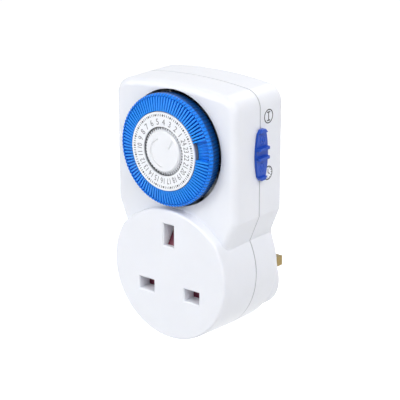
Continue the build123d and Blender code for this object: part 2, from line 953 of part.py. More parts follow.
with BuildPart() as chassis_screws:
    discs(chassis_back - small_head, small_head, small_head_radius, chassis_screw_places)
    shank = chassis_thickness + chassis_screw_length - screw_end_gap
    discs(chassis_back, shank, chassis_screw_radius, chassis_screw_places)
finish(chassis_screws, "chassis_screws")

# ================================================================ dial axle, gear pins and clutch washer
knob_seat = scale_face - knob_floor
with BuildPart() as dial_axle:
    discs(chassis_back, knob_seat + 0.1 - chassis_back, axle_radius, [dial_at])
    discs(knob_seat + 0.1, axle_head, axle_head_radius, [dial_at])
finish(dial_axle, "dial_axle")

slow_pin_top = dial_gear_front + 0.3
fast_pin_top = slow_wheel_front + 0.05
with BuildPart() as gear_pins:
    discs(chassis_back, slow_pin_top - chassis_back, gear_pin_radius, [slow_at])
    discs(slow_pin_top, gear_pin_cap, gear_pin_head, [slow_at])
    discs(chassis_back, fast_pin_top - chassis_back, gear_pin_radius, [fast_at])
    discs(fast_pin_top, gear_pin_cap, gear_pin_head, [fast_at])
finish(gear_pins, "gear_pins")

with BuildPart() as clutch_washer:
    with BuildSketch(turning_plane(dial_at)):
        with BuildLine():
            Polyline(
                (washer_inner, hub_back - washer_gap),
                (washer_inner, hub_back - washer_gap - washer_strip),
                (washer_outer, dial_gear_front + washer_gap),
                (washer_outer, dial_gear_front + washer_gap + washer_strip),
                close=True,
            )
        make_face()
    revolve(axis=turning_axis(dial_at))
finish(clutch_washer, "clutch_washer")


# ================================================================ gears
def tooth_half_angle(radius, teeth, module):
    """Half the angle of an involute tooth at a radius, less its share of the backlash."""
    pitch_radius = teeth * module / 2
    base_radius = pitch_radius * cos(radians(pressure_angle))
    at_pitch = pi / 2 / teeth - backlash * module / 2 / pitch_radius
    roll_pitch = radians(pressure_angle)
    roll = acos(min(1.0, base_radius / max(radius, base_radius)))
    return at_pitch + (tan(roll_pitch) - roll_pitch) - (tan(roll) - roll)


def gear_outline(teeth, module, turn=0.0, steps=2):
    """A gear's outline, each flank a few points from root to tip; turn is in degrees."""
    pitch_radius = teeth * module / 2
    root = pitch_radius - dedendum * module
    tip = pitch_radius + addendum * module
    radii = [root + (tip - root) * step / (steps - 1) for step in range(steps)]
    points = []
    for tooth in range(teeth):
        middle = radians(turn) + 2 * pi * tooth / teeth
        for side, order in ((-1, radii), (1, radii[::-1])):
            for radius in order:
                angle = middle + side * tooth_half_angle(radius, teeth, module)
                points.append((radius * cos(angle), radius * sin(angle)))
    with BuildSketch() as outline:
        with BuildLine():
            Polyline(*points, close=True)
        make_face()
    return outline.sketch


def mesh_turn(teeth, direction):
    """The turn that puts a gap of a gear on the line towards its neighbour."""
    return direction + 180 / teeth


dial_gear_turn = slow_gear_angle
slow_pinion_turn = mesh_turn(slow_pinion_teeth, slow_gear_angle + 180)
slow_wheel_turn = fast_gear_angle
fast_pinion_turn = mesh_turn(fast_pinion_teeth, fast_gear_angle + 180)
fast_wheel_turn = output_angle
output_turn = mesh_turn(output_teeth, output_angle + 180)

with BuildPart() as dial_gear:
    teeth = gear_outline(dial_gear_teeth, dial_gear_module, dial_gear_turn)
    slab(dial_gear_back, gear_thickness, teeth, at=dial_at)
    discs(dial_gear_back, gear_thickness, axle_radius + axle_gap, [dial_at], Mode.SUBTRACT)
finish(dial_gear, "dial_gear")

with BuildPart() as slow_gear:
    teeth = gear_outline(slow_wheel_teeth, train_module, slow_wheel_turn)
    slab(slow_wheel_back, wheel_thickness, teeth, at=slow_at)
    slab(
        slow_wheel_front,
        dial_gear_front - slow_wheel_front + 0.2,
        gear_outline(slow_pinion_teeth, dial_gear_module, slow_pinion_turn, 3),
        at=slow_at,
    )
    hub_end = chassis_front + gear_lift
    discs(hub_end, slow_wheel_back - hub_end, gear_pin_radius + gear_hub_wall, [slow_at])
    discs(hub_end, slow_pin_top - hub_end, gear_pin_radius + axle_gap, [slow_at], Mode.SUBTRACT)
finish(slow_gear, "slow_gear")

with BuildPart() as fast_gear:
    teeth = gear_outline(fast_wheel_teeth, train_module, fast_wheel_turn)
    slab(fast_wheel_back, wheel_thickness, teeth, at=fast_at)
    slab(
        fast_wheel_front,
        slow_wheel_front - fast_wheel_front,
        gear_outline(fast_pinion_teeth, train_module, fast_pinion_turn, 3),
        at=fast_at,
    )
    discs(hub_end, fast_wheel_back - hub_end, gear_pin_radius + gear_hub_wall, [fast_at])
    discs(hub_end, fast_pin_top - hub_end, gear_pin_radius + axle_gap, [fast_at], Mode.SUBTRACT)
finish(fast_gear, "fast_gear")

output_back = fast_wheel_back - 0.2
with BuildPart() as output_pinion:
    slab(
        output_back,
        fast_wheel_front + 0.2 - output_back,
        gear_outline(output_teeth, train_module, output_turn, 3),
        at=output_at,
    )
    shaft_back = chassis_back - gearbox_depth / 2
    discs(shaft_back, output_back - shaft_back, output_shaft_radius, [output_at])
finish(output_pinion, "output_pinion")

# ================================================================ geared motor
with BuildPart() as motor_gearbox:
    discs(gearbox_back, gearbox_depth, motor_radius, [output_at])
    for angle in motor_ear_angles:
        with BuildSketch(front_plane(chassis_back - motor_ear_thickness, output_at)):
            with Locations(Location((0, 0, 0), angle)):
                with Locations((motor_ear / 2, 0)):
                    Rectangle(motor_ear, 2 * motor_ear_radius)
                with Locations((motor_ear, 0)):
                    Circle(motor_ear_radius)
        extrude(amount=motor_ear_thickness)
    ear_back = chassis_back - motor_ear_thickness
    ear_hole = chassis_screw_radius + screw_gap
    discs(ear_back, motor_ear_thickness, ear_hole, ear_places, Mode.SUBTRACT)
    seat_back = chassis_back - gearbox_depth / 2 - shaft_seat_depth
    discs(seat_back, gearbox_depth, output_shaft_radius + axle_gap, [output_at], Mode.SUBTRACT)
finish(motor_gearbox, "motor_gearbox")

with BuildPart() as motor_case:
    discs(motor_back, motor_depth, motor_radius, [output_at])
    cup_depth = motor_depth - motor_wall
    discs(motor_back + motor_wall, cup_depth, motor_radius - motor_wall, [output_at], Mode.SUBTRACT)
    discs(motor_back, motor_wall, rotor_shaft_radius + axle_gap, [output_at], Mode.SUBTRACT)
finish(motor_case, "motor_case")

bobbin_back = motor_back + motor_wall + bobbin_gap / 2
bobbin_front = gearbox_back - bobbin_gap / 2
with BuildPart() as motor_bobbin:
    with BuildSketch(turning_plane(output_at)):
        with BuildLine():
            Polyline(
                (bobbin_inner, bobbin_back),
                (bobbin_outer, bobbin_back),
                (bobbin_outer, bobbin_back + bobbin_wall),
                (bobbin_inner + bobbin_wall, bobbin_back + bobbin_wall),
                (bobbin_inner + bobbin_wall, bobbin_front - bobbin_wall),
                (bobbin_outer, bobbin_front - bobbin_wall),
                (bobbin_outer, bobbin_front),
                (bobbin_inner, bobbin_front),
                close=True,
            )
        make_face()
    revolve(axis=turning_axis(output_at))
finish(motor_bobbin, "motor_bobbin")

with BuildPart() as motor_winding:
    winding_back = bobbin_back + bobbin_wall
    winding_depth = bobbin_front - bobbin_wall - winding_back
    discs(winding_back, winding_depth, winding_outer, [output_at])
    discs(winding_back, winding_depth, bobbin_inner + bobbin_wall, [output_at], Mode.SUBTRACT)
finish(motor_winding, "motor_winding")

with BuildPart() as motor_rotor:
    discs(bobbin_back + 0.4, bobbin_front - bobbin_back - 0.8, rotor_radius, [output_at])
    discs(motor_back + 0.1, gearbox_back - motor_back - 0.2, rotor_shaft_radius, [output_at])
finish(motor_rotor, "motor_rotor")

with BuildPart() as motor_screws:
    discs(
        chassis_back - motor_ear_thickness - small_head,
        small_head,
        small_head_radius,
        ear_places,
    )
    discs(
        chassis_back - motor_ear_thickness,
        motor_ear_thickness + chassis_thickness,
        chassis_screw_radius,
        ear_places,
    )
finish(motor_screws, "motor_screws")


# ================================================================ motor leads
def lead(points, bend):
    """An insulated wire along straight runs joined by bends."""
    with BuildPart() as wire:
        with BuildLine() as path:
            FilletPolyline(*points, radius=bend)
        with BuildSketch(Plane(origin=path.line @ 0, z_dir=path.line % 0)):
            RegularPolygon(lead_radius, lead_sides)
        sweep()
    return wire


lead_depth = motor_back + lead_height


def motor_exit(angle, reach):
    """A point on a lead's way straight out of the motor case."""
    x, z = polar(output_at, motor_radius + reach, angle)
    return (x, -lead_depth, z)


neutral_landing = live_z + live_tube_half_z + tube_wall + neutral_landing_gap
line_landing = earth_z + line_landing_rise
neutral_lead = lead(
    [
        motor_exit(258, 0),
        motor_exit(258, 3),
        (-live_x, -lead_depth, output_at[1] - motor_radius - lead_drop),
        (-live_x, -lead_depth, neutral_landing),
        (-live_x, -strap_front, neutral_landing),
    ],
    1.5,
)
line_lead = lead(
    [
        motor_exit(282, 0),
        motor_exit(282, 6),
        (live_x - lead_offset, -lead_depth, line_landing + lead_offset + 1),
        (live_x, -lead_depth, line_landing),
        (live_x, -strap_front, line_landing),
    ],
    1.0,
)
with BuildPart() as motor_leads:
    add(neutral_lead.part)
    add(line_lead.part)
finish(motor_leads, "motor_leads")

# ================================================================ dial: scale and knob
scale_back = ring_back + ring_floor
with BuildPart() as dial_scale:
    with BuildSketch(turning_plane(dial_at)):
        with BuildLine():
            Polyline(
                (knob_radius + knob_gap, scale_face),
                (scale_radius, scale_face),
                (scale_radius, scale_back),
                (scale_radius - scale_wall, scale_back),
                (scale_radius - scale_wall, scale_face - scale_plate - knob_floor),
                (hub_radius, scale_face - scale_plate - knob_floor),
                (hub_radius, hub_back),
                (axle_radius + axle_gap, hub_back),
                (axle_radius + axle_gap, knob_seat),
                (knob_radius + knob_gap, knob_seat),
                close=True,
            )
        make_face()
    revolve(axis=turning_axis(dial_at))
finish(dial_scale, "dial_scale")

tooth_face = scale_face - knob_tooth_drop
with BuildPart() as dial_knob:
    with BuildSketch(front_plane(knob_seat, dial_at)):
        with BuildLine():
            Polyline(
                *[
                    polar((0, 0), knob_radius - knob_tooth * (step % 2), 180 / knob_teeth * step)
                    for step in range(2 * knob_teeth)
                ],
                close=True,
            )
        make_face()
    extrude(amount=tooth_face - knob_seat)
    with BuildSketch(turning_plane(dial_at)):
        with BuildLine():
            Polyline(
                (0, knob_seat),
                (knob_radius - knob_tooth, knob_seat),
                (knob_radius - knob_tooth, scale_face),
                (knob_face_radius, scale_face + knob_proud),
                (0, scale_face + knob_proud),
                close=True,
            )
        make_face()
    revolve(axis=turning_axis(dial_at))
    discs(knob_seat, axle_head + knob_head_gap, axle_head_radius + knob_head_gap, [dial_at], Mode.SUBTRACT)
finish(dial_knob, "dial_knob")


# ================================================================ dial ring
def scalloped(depth, radius):
    """The rim's outline at a depth: one shallow lobe for each quarter of an hour."""
    with BuildSketch(dial_frame.offset(depth)) as outline:
        with BuildLine():
            Polyline(
                *[
                    polar((0, 0), radius - scallop * (step % 2), first_tappet_angle + quarter / 2 * step)
                    for step in range(2 * day_quarters)
                ],
                close=True,
            )
        make_face()
    return outline.sketch


def slots(inner, outer, width):
    """One radial slot for each quarter of an hour."""
    with PolarLocations((inner + outer) / 2, day_quarters, start_angle=first_tappet_angle):
        Rectangle(outer - inner, width, mode=Mode.SUBTRACT)


first_tappet_angle = first_group_angle + quarter / 2
fin_face = tappet_outer_face - fin_drop
slot_width = tappet_width + 2 * tappet_gap
rim_shoulder_depth = ring_face - rim_shoulder
rim_overlap = rim_inner + (rim_back_radius - scallop - rim_inner) / 2
dial_frame = Plane(origin=(0, 0, dial_z), x_dir=(1, 0, 0), z_dir=(0, -1, 0))

with BuildPart(dial_frame) as dial_ring:
    rim_sections = [
        scalloped(ring_back, rim_back_radius),
        scalloped(rim_shoulder_depth, rim_front_radius),
        scalloped(ring_face - rim_round, rim_round_radius),
        scalloped(ring_face, rim_face_radius),
    ]
    loft(rim_sections, ruled=True)
    with BuildSketch(dial_frame.offset(ring_back)):
        Circle(rim_inner)
    extrude(amount=ring_face - ring_back, mode=Mode.SUBTRACT)
    with BuildSketch(dial_frame.offset(ring_back)):
        Circle(rim_overlap)
        Circle(ring_inner, mode=Mode.SUBTRACT)
        slots(tappet_foot_inner - tappet_gap, tappet_foot_outer + tappet_gap, slot_width)
    extrude(amount=ring_floor)
    with BuildSketch(dial_frame.offset(ring_back + ring_floor)):
        Circle(rim_overlap)
        Circle(scale_radius + ring_bore_gap, mode=Mode.SUBTRACT)
        slots(scale_radius, rim_inner, slot_width)
    extrude(amount=fin_face - ring_back - ring_floor)
finish(dial_ring, "dial_ring")

# ================================================================ tappets, in groups of an hour and a half
with BuildPart() as tappet:
    with BuildSketch(Plane.XZ.offset(-tappet_width / 2)):
        with BuildLine():
            Polyline(
                (tappet_head_inner, head_underside),
                (tappet_foot_inner, head_underside),
                (tappet_foot_inner, tappet_back),
                (tappet_foot_outer, tappet_back),
                (tappet_foot_outer, head_underside),
                (tappet_head_outer, head_underside),
                (tappet_head_outer, tappet_outer_face - tappet_bevel),
                (tappet_head_outer - tappet_bevel, tappet_outer_face),
                (tappet_head_inner, tappet_inner_face),
                close=True,
            )
        make_face()
    extrude(amount=tappet_width)

pressed_group = 1
for group in range(1, group_count + 1):
    pressed = tappet_travel if group == pressed_group else 0.0
    start = first_tappet_angle + quarter * group_size * (group - 1)
    seat = dial_frame.offset(-pressed)
    with BuildPart(seat) as tappets:
        with PolarLocations(0, group_size, start_angle=start, angular_range=quarter * group_size):
            add(tappet.part)
    finish(tappets, f"tappets_{group:02d}")

# ================================================================ trip plunger
lug_bottom = plunger_at[1] - lug_below
lug_top = plunger_at[1] + lug_above


def wedge_depth(height):
    """The depth of the slider's sloping face at a height."""
    return wedge_front - wedge_tip - wedge_slope * (wedge_top - height)


with BuildPart() as trip_plunger:
    discs(plunger_tail, plunger_nose - plunger_radius / 2 - plunger_tail, plunger_radius, [plunger_at])
    with BuildSketch(turning_plane(plunger_at)):
        with BuildLine():
            nose_base = plunger_nose - plunger_radius / 2
            Polyline((plunger_radius, nose_base), (0, nose_base), (0, plunger_nose))
            ThreePointArc(
                (0, plunger_nose),
                (plunger_radius * 0.75, plunger_nose - plunger_radius * 0.2),
                (plunger_radius, nose_base),
            )
        make_face()
    revolve(axis=turning_axis(plunger_at))
    with BuildSketch(side_plane(plunger_at[0] - plunger_radius)):
        with BuildLine():
            Polyline(
                (lug_bottom, lug_back),
                (lug_top, lug_back),
                (lug_top, wedge_depth(lug_top) - wedge_gap),
                (lug_bottom, wedge_depth(lug_bottom) - wedge_gap),
                close=True,
            )
        make_face()
    extrude(amount=plate_outer_x - slider_plate - lug_gap - plunger_at[0] + plunger_radius)
finish(trip_plunger, "trip_plunger")

# ================================================================ override slider

def slider_outline():
    """The thumb piece seen from the side: bowed along its length, narrow at its ends."""
    half = slider_length / 2
    shoulder = half - slider_end_rise
    with BuildSketch() as outline:
        with BuildLine():
            for side in (-1, 1):
                ThreePointArc(
                    (-shoulder, side * slider_shoulder_width / 2),
                    (0, side * slider_mid_width / 2),
                    (shoulder, side * slider_shoulder_width / 2),
                )
                Polyline(
                    (side * shoulder, slider_shoulder_width / 2),
                    (side * half, slider_end_width / 2),
                    (side * half, -slider_end_width / 2),
                    (side * shoulder, -slider_shoulder_width / 2),
                )
        make_face()
    return outline.sketch


def slider_plane(x):
    """The side view, centred on the thumb piece."""
    return Plane(origin=(x, -seam, slider_z), x_dir=(0, 0, 1), z_dir=(1, 0, 0))


def cross_ridge(height, middle, width, half):
    """A ridge across the thumb piece, with sloping ends."""
    with BuildSketch(plan_plane(middle + width / 2)) as ridge:
        with BuildLine():
            Polyline(
                (slider_seat + slider_floor / 2, seam + half),
                (slider_seat + height - slider_ridge_slope, seam + half),
                (slider_seat + height, seam + half - slider_ridge_slope),
                (slider_seat + height, seam - half + slider_ridge_slope),
                (slider_seat + height - slider_ridge_slope, seam - half),
                (slider_seat + slider_floor / 2, seam - half),
                close=True,
            )
        make_face()
    extrude(ridge.sketch, amount=width)


with BuildPart() as override_slider:
    with BuildSketch(slider_plane(slider_seat)):
        add(slider_outline())
    extrude(amount=slider_height)
    fillet(override_slider.faces().sort_by(Axis.X)[-1].edges(), slider_edge)
    with BuildSketch(slider_plane(slider_seat + slider_floor)):
        Rectangle(slider_length - 2 * slider_cap, slider_mid_width)
    extrude(amount=slider_height, mode=Mode.SUBTRACT)
    for side in (-1, 1):
        ridge_middle = slider_z + slider_ridge_shift + side * slider_ridge_pitch / 2
        cross_ridge(slider_ridge, ridge_middle, slider_ridge_width, slider_mid_width / 2 - slider_edge)
    with BuildSketch(slider_plane(plate_outer_x)):
        Rectangle(slider_neck_length, slider_neck_width)
    extrude(amount=slider_seat - plate_outer_x)
    with BuildSketch(side_plane(plate_outer_x - slider_plate)):
        with BuildLine():
            Polyline(
                (wedge_bottom, wedge_depth(wedge_bottom)),
                (wedge_top, wedge_depth(wedge_top)),
                (wedge_top, seam - slider_plate_width / 2),
                (slider_plate_top, seam - slider_plate_width / 2),
                (slider_plate_top, seam + slider_plate_width / 2),
                (wedge_bottom, seam + slider_plate_width / 2),
                close=True,
            )
        make_face()
    extrude(amount=slider_plate)
    with BuildSketch(side_plane(wedge_inner_x)):
        with BuildLine():
            Polyline(
                (wedge_bottom, wedge_depth(wedge_bottom)),
                (wedge_top, wedge_depth(wedge_top)),
                (wedge_top, wedge_front),
                (wedge_bottom, wedge_front),
                close=True,
            )
        make_face()
    extrude(amount=plate_outer_x - slider_plate - wedge_inner_x)
finish(override_slider, "override_slider")
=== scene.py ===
# %% [markdown]
# # A plug-in timer switch
# The timer plugs into a wall outlet and passes the mains on to a socket of its own. Ninety-six
# small tappets round a 24 hour dial choose the quarter hours in which that socket is live.
# The shapes come from CAD as a fixed frame, in metres: X to the right, Y into the wall, Z up.
# This notebook gives them their finishes, adds what is printed or fine, and lights the scene.

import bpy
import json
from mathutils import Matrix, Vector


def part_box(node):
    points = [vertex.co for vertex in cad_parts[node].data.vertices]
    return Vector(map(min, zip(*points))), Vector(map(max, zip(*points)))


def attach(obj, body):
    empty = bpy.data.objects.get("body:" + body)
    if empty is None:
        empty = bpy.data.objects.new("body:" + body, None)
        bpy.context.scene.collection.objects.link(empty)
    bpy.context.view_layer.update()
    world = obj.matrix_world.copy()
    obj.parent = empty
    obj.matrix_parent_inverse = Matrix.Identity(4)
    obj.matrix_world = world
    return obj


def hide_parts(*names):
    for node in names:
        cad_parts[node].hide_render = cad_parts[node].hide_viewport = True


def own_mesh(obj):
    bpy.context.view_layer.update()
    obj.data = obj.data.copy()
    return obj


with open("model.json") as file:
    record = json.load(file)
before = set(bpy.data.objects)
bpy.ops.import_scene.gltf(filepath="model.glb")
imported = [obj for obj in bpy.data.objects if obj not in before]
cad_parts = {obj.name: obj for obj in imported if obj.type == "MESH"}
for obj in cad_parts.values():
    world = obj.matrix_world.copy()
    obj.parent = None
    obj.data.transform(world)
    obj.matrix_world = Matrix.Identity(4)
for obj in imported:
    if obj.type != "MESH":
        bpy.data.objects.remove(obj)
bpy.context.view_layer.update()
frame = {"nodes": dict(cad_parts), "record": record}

import json
from math import cos, degrees, pi, radians, sin

import bmesh
import bpy
from mathutils import Matrix, Vector

MM = 0.001
nodes = frame["nodes"]
print("pieces from CAD:", len(nodes))

# %% [markdown]
# ## The camera
# A long lens from the front right and a little above shows the dial, the socket and the slider
# at once, with little perspective. Three directions make its matrix: right, up and backward.

# %% The camera
camera_turn = radians(38.81)
camera_rise = radians(18.32)
camera_roll = radians(-0.1)
flat_share = cos(camera_rise)
backward = Vector((sin(camera_turn) * flat_share, -cos(camera_turn) * flat_share, sin(camera_rise)))
level = Vector((cos(camera_turn), sin(camera_turn), 0))
upward = backward.cross(level)
right = level * cos(camera_roll) + upward * sin(camera_roll)
up = upward * cos(camera_roll) - level * sin(camera_roll)

camera = bpy.data.objects.new("camera", bpy.data.cameras.new("camera"))
camera.data.sensor_width = 36
camera.data.lens = 142.73
camera.data.clip_start = 0.05
camera.matrix_world = Matrix((right, up, backward)).transposed().to_4x4()
camera.location = (0.36408, -0.47107, 0.21627)
bpy.context.scene.collection.objects.link(camera)
bpy.context.scene.camera = camera
print("camera lens:", camera.data.lens)

# %% [markdown]
# ## Light and background
# A product shot on white needs broad, soft light, so that white plastic keeps its shape without
# hard shadows. One large lamp stands at the left, two share the right side, and a fourth lights
# the top and the back. The world adds a little from all round, more from above than from below.
# Only the camera and mirror-like rays see the world as pure white, so the white background puts
# no extra light on the object.

# %% Helpers for shader trees
def link(tree, source, target):
    """Join one node's output to another node's input."""
    tree.links.new(source, target)


def light_path_mask(tree):
    """1 for what the camera sees directly, or in a mirror or glass; 0 for light itself."""
    path = tree.nodes.new("ShaderNodeLightPath")
    first = tree.nodes.new("ShaderNodeMath")
    first.operation = "MAXIMUM"
    second = tree.nodes.new("ShaderNodeMath")
    second.operation = "MAXIMUM"
    link(tree, path.outputs["Is Camera Ray"], first.inputs[0])
    link(tree, path.outputs["Is Glossy Ray"], first.inputs[1])
    link(tree, first.outputs[0], second.inputs[0])
    link(tree, path.outputs["Is Transmission Ray"], second.inputs[1])
    return second.outputs[0]


# %% The world
world = bpy.data.worlds.new("studio")
world.use_nodes = True
tree = world.node_tree
tree.nodes.clear()
seen = tree.nodes.new("ShaderNodeBackground")
seen.inputs["Color"].default_value = (1, 1, 1, 1)
seen.inputs["Strength"].default_value = 1.0
ambient = tree.nodes.new("ShaderNodeBackground")
ambient.inputs["Color"].default_value = (0.92, 0.95, 1.0, 1)
direction = tree.nodes.new("ShaderNodeTexCoord")
height = tree.nodes.new("ShaderNodeSeparateXYZ")
fade = tree.nodes.new("ShaderNodeMapRange")
fade.inputs["From Min"].default_value = -1.0
fade.inputs["From Max"].default_value = 1.0
fade.inputs["To Min"].default_value = 0.03
fade.inputs["To Max"].default_value = 0.16
link(tree, direction.outputs["Generated"], height.inputs[0])
link(tree, height.outputs["Z"], fade.inputs["Value"])
link(tree, fade.outputs["Result"], ambient.inputs["Strength"])
mix = tree.nodes.new("ShaderNodeMixShader")
output = tree.nodes.new("ShaderNodeOutputWorld")
link(tree, light_path_mask(tree), mix.inputs[0])
link(tree, ambient.outputs[0], mix.inputs[1])
link(tree, seen.outputs[0], mix.inputs[2])
link(tree, mix.outputs[0], output.inputs["Surface"])
bpy.context.scene.world = world
bpy.context.scene.view_settings.view_transform = "Standard"


# %% The lamps
def lamp(name, azimuth, elevation, distance, size, energy, colour):
    """A square soft box that looks at the middle of the object."""
    middle = Vector((0, -0.02, 0.025))
    a, e = radians(azimuth), radians(elevation)
    away = Vector((sin(a) * cos(e), -cos(a) * cos(e), sin(e)))
    light = bpy.data.objects.new(name, bpy.data.lights.new(name, "AREA"))
    light.data.size = size
    light.data.energy = energy
    light.data.color = colour
    light.matrix_world = away.to_track_quat("Z", "Y").to_matrix().to_4x4()
    light.location = middle + away * distance
    bpy.context.scene.collection.objects.link(light)
    return light


key = lamp("key", -32, 25, 0.9, 0.60, 5.1, (1.0, 1.0, 1.0))
fill = lamp("fill", 80, 42, 1.0, 0.70, 5.6, (1.0, 0.985, 0.985))
front = lamp("front", 45, 42, 1.0, 0.70, 3.0, (1.0, 0.99, 0.985))
back = lamp("back", 178, 45, 1.0, 0.70, 3.4, (1.0, 1.0, 1.0))
print("lamps:", *(f"{light.name} {light.data.energy:.1f} W" for light in (key, fill, front, back)))

# %% [markdown]
# ## The floor
# The timer hangs on a wall outlet, so the floor lies well below it. The floor is a pale matt
# surface that also glows a little towards the camera, which makes it white and still lets it
# take the object's soft shadow.

# %% The floor
floor_depth = 0.16
floor_half = 3.0
floor_mesh = bpy.data.meshes.new("floor")
floor_mesh.from_pydata(
    [
        (-floor_half, -floor_half, -floor_depth),
        (floor_half, -floor_half, -floor_depth),
        (floor_half, floor_half, -floor_depth),
        (-floor_half, floor_half, -floor_depth),
    ],
    [],
    [(0, 1, 2, 3)],
)
floor = bpy.data.objects.new("floor", floor_mesh)
bpy.context.scene.collection.objects.link(floor)
floor_material = bpy.data.materials.new("pale_floor")
floor_material.use_nodes = True
tree = floor_material.node_tree
tree.nodes.clear()
matt = tree.nodes.new("ShaderNodeBsdfDiffuse")
matt.inputs["Color"].default_value = (0.82, 0.82, 0.82, 1)
glow = tree.nodes.new("ShaderNodeEmission")
add = tree.nodes.new("ShaderNodeAddShader")
output = tree.nodes.new("ShaderNodeOutputMaterial")
half = tree.nodes.new("ShaderNodeMath")
half.operation = "MULTIPLY"
half.inputs[1].default_value = 0.80
link(tree, light_path_mask(tree), half.inputs[0])
link(tree, half.outputs[0], glow.inputs["Strength"])
link(tree, matt.outputs[0], add.inputs[0])
link(tree, glow.outputs[0], add.inputs[1])
link(tree, add.outputs[0], output.inputs["Surface"])
floor_mesh.materials.append(floor_material)
print("floor depth below the socket:", floor_depth)

# %% [markdown]
# ## Effects that several finishes share
# Moulded plastic is never one flat colour: the tool leaves a very fine spark texture, and the
# melt cools with faint clouds in it. Both come from noise on the object's own coordinates, so
# they stay put when a piece moves. A second group draws fine lines along one direction, which is
# what drawn brass, brushed sheet and wound wire have in common.


# %% A shader group for moulded plastic
def shader_group(name, inputs, outputs):
    """An empty shader group with named sockets: (name, kind, default)."""
    group = bpy.data.node_groups.new(name, "ShaderNodeTree")
    for label, kind, value in inputs:
        socket = group.interface.new_socket(name=label, in_out="INPUT", socket_type=kind)
        socket.default_value = value
    for label, kind in outputs:
        group.interface.new_socket(name=label, in_out="OUTPUT", socket_type=kind)
    return group, group.nodes.new("NodeGroupInput"), group.nodes.new("NodeGroupOutput")


def noise(tree, vector, scale, detail=2.0):
    """A noise texture at a scale in features per metre."""
    node = tree.nodes.new("ShaderNodeTexNoise")
    node.inputs["Scale"].default_value = scale
    node.inputs["Detail"].default_value = detail
    link(tree, vector, node.inputs["Vector"])
    return node.outputs["Fac"]


def spread(tree, value, low, high):
    """Stretch a 0 to 1 value to a range that is given by two sockets or numbers."""
    node = tree.nodes.new("ShaderNodeMapRange")
    node.inputs["From Min"].default_value = 0.3
    node.inputs["From Max"].default_value = 0.7
    link(tree, value, node.inputs["Value"])
    for socket, end in (("To Min", low), ("To Max", high)):
        if isinstance(end, (int, float)):
            node.inputs[socket].default_value = end
        else:
            link(tree, end, node.inputs[socket])
    return node.outputs["Result"]


def plus(tree, first, second, operation="ADD"):
    """Two values, of which the second may be a number, through one Math node."""
    node = tree.nodes.new("ShaderNodeMath")
    node.operation = operation
    link(tree, first, node.inputs[0])
    if isinstance(second, (int, float)):
        node.inputs[1].default_value = second
    else:
        link(tree, second, node.inputs[1])
    return node.outputs[0]


def tinted(tree, colour, factor):
    """A colour made lighter or darker by a factor that varies over the surface."""
    node = tree.nodes.new("ShaderNodeVectorMath")
    node.operation = "SCALE"
    link(tree, colour, node.inputs[0])
    link(tree, factor, node.inputs["Scale"])
    return node.outputs[0]


surface_outputs = [
    ("Color", "NodeSocketColor"),
    ("Roughness", "NodeSocketFloat"),
    ("Normal", "NodeSocketVector"),
]
moulded_group, given, result = shader_group(
    "moulded_surface",
    [
        ("Color", "NodeSocketColor", (0.8, 0.8, 0.8, 1)),
        ("Clouds", "NodeSocketFloat", 0.02),
        ("Roughness", "NodeSocketFloat", 0.35),
        ("Grain", "NodeSocketFloat", 0.1),
    ],
    surface_outputs,
)
place = moulded_group.nodes.new("ShaderNodeTexCoord").outputs["Object"]
clouds = noise(moulded_group, place, 90, 3)
grain = noise(moulded_group, place, 5200, 1)
low = plus(moulded_group, plus(moulded_group, given.outputs["Clouds"], -1.0, "MULTIPLY"), 1.0)
high = plus(moulded_group, given.outputs["Clouds"], 1.0)
shade = tinted(moulded_group, given.outputs["Color"], spread(moulded_group, clouds, low, high))
rough = plus(moulded_group, given.outputs["Roughness"], spread(moulded_group, grain, -0.03, 0.03))
bump = moulded_group.nodes.new("ShaderNodeBump")
bump.inputs["Distance"].default_value = 0.02 * MM
link(moulded_group, given.outputs["Grain"], bump.inputs["Strength"])
link(moulded_group, grain, bump.inputs["Height"])
link(moulded_group, shade, result.inputs["Color"])
link(moulded_group, rough, result.inputs["Roughness"])
link(moulded_group, bump.outputs["Normal"], result.inputs["Normal"])

# %% A shader group for drawn, brushed and wound metal
drawn_group, given, result = shader_group(
    "drawn_surface",
    [
        ("Color", "NodeSocketColor", (0.8, 0.7, 0.4, 1)),
        ("Stretch", "NodeSocketVector", (4000, 200, 4000)),
        ("Lines", "NodeSocketFloat", 0.06),
        ("Roughness", "NodeSocketFloat", 0.3),
        ("Depth", "NodeSocketFloat", 0.2),
    ],
    surface_outputs,
)
place = drawn_group.nodes.new("ShaderNodeTexCoord").outputs["Object"]
pulled = drawn_group.nodes.new("ShaderNodeVectorMath")
pulled.operation = "MULTIPLY"
link(drawn_group, place, pulled.inputs[0])
link(drawn_group, given.outputs["Stretch"], pulled.inputs[1])
lines = noise(drawn_group, pulled.outputs[0], 1.0, 2)
stain = noise(drawn_group, place, 160, 2)
low = plus(drawn_group, plus(drawn_group, given.outputs["Lines"], -1.0, "MULTIPLY"), 1.0)
high = plus(drawn_group, given.outputs["Lines"], 1.0)
shade = tinted(drawn_group, given.outputs["Color"], spread(drawn_group, stain, low, high))
rough = plus(drawn_group, given.outputs["Roughness"], spread(drawn_group, lines, -0.07, 0.07))
bump = drawn_group.nodes.new("ShaderNodeBump")
bump.inputs["Distance"].default_value = 0.02 * MM
link(drawn_group, given.outputs["Depth"], bump.inputs["Strength"])
link(drawn_group, lines, bump.inputs["Height"])
link(drawn_group, shade, result.inputs["Color"])
link(drawn_group, rough, result.inputs["Roughness"])
link(drawn_group, bump.outputs["Normal"], result.inputs["Normal"])
print("shader groups:", moulded_group.name, drawn_group.name)


# %% Two kinds of material
def joined(tree, group, shader):
    """Run a group's colour, roughness and normal into the shader."""
    targets = {"Color": "Base Color", "Roughness": "Roughness", "Normal": "Normal"}
    for socket, target in targets.items():
        link(tree, group.outputs[socket], shader.inputs[target])


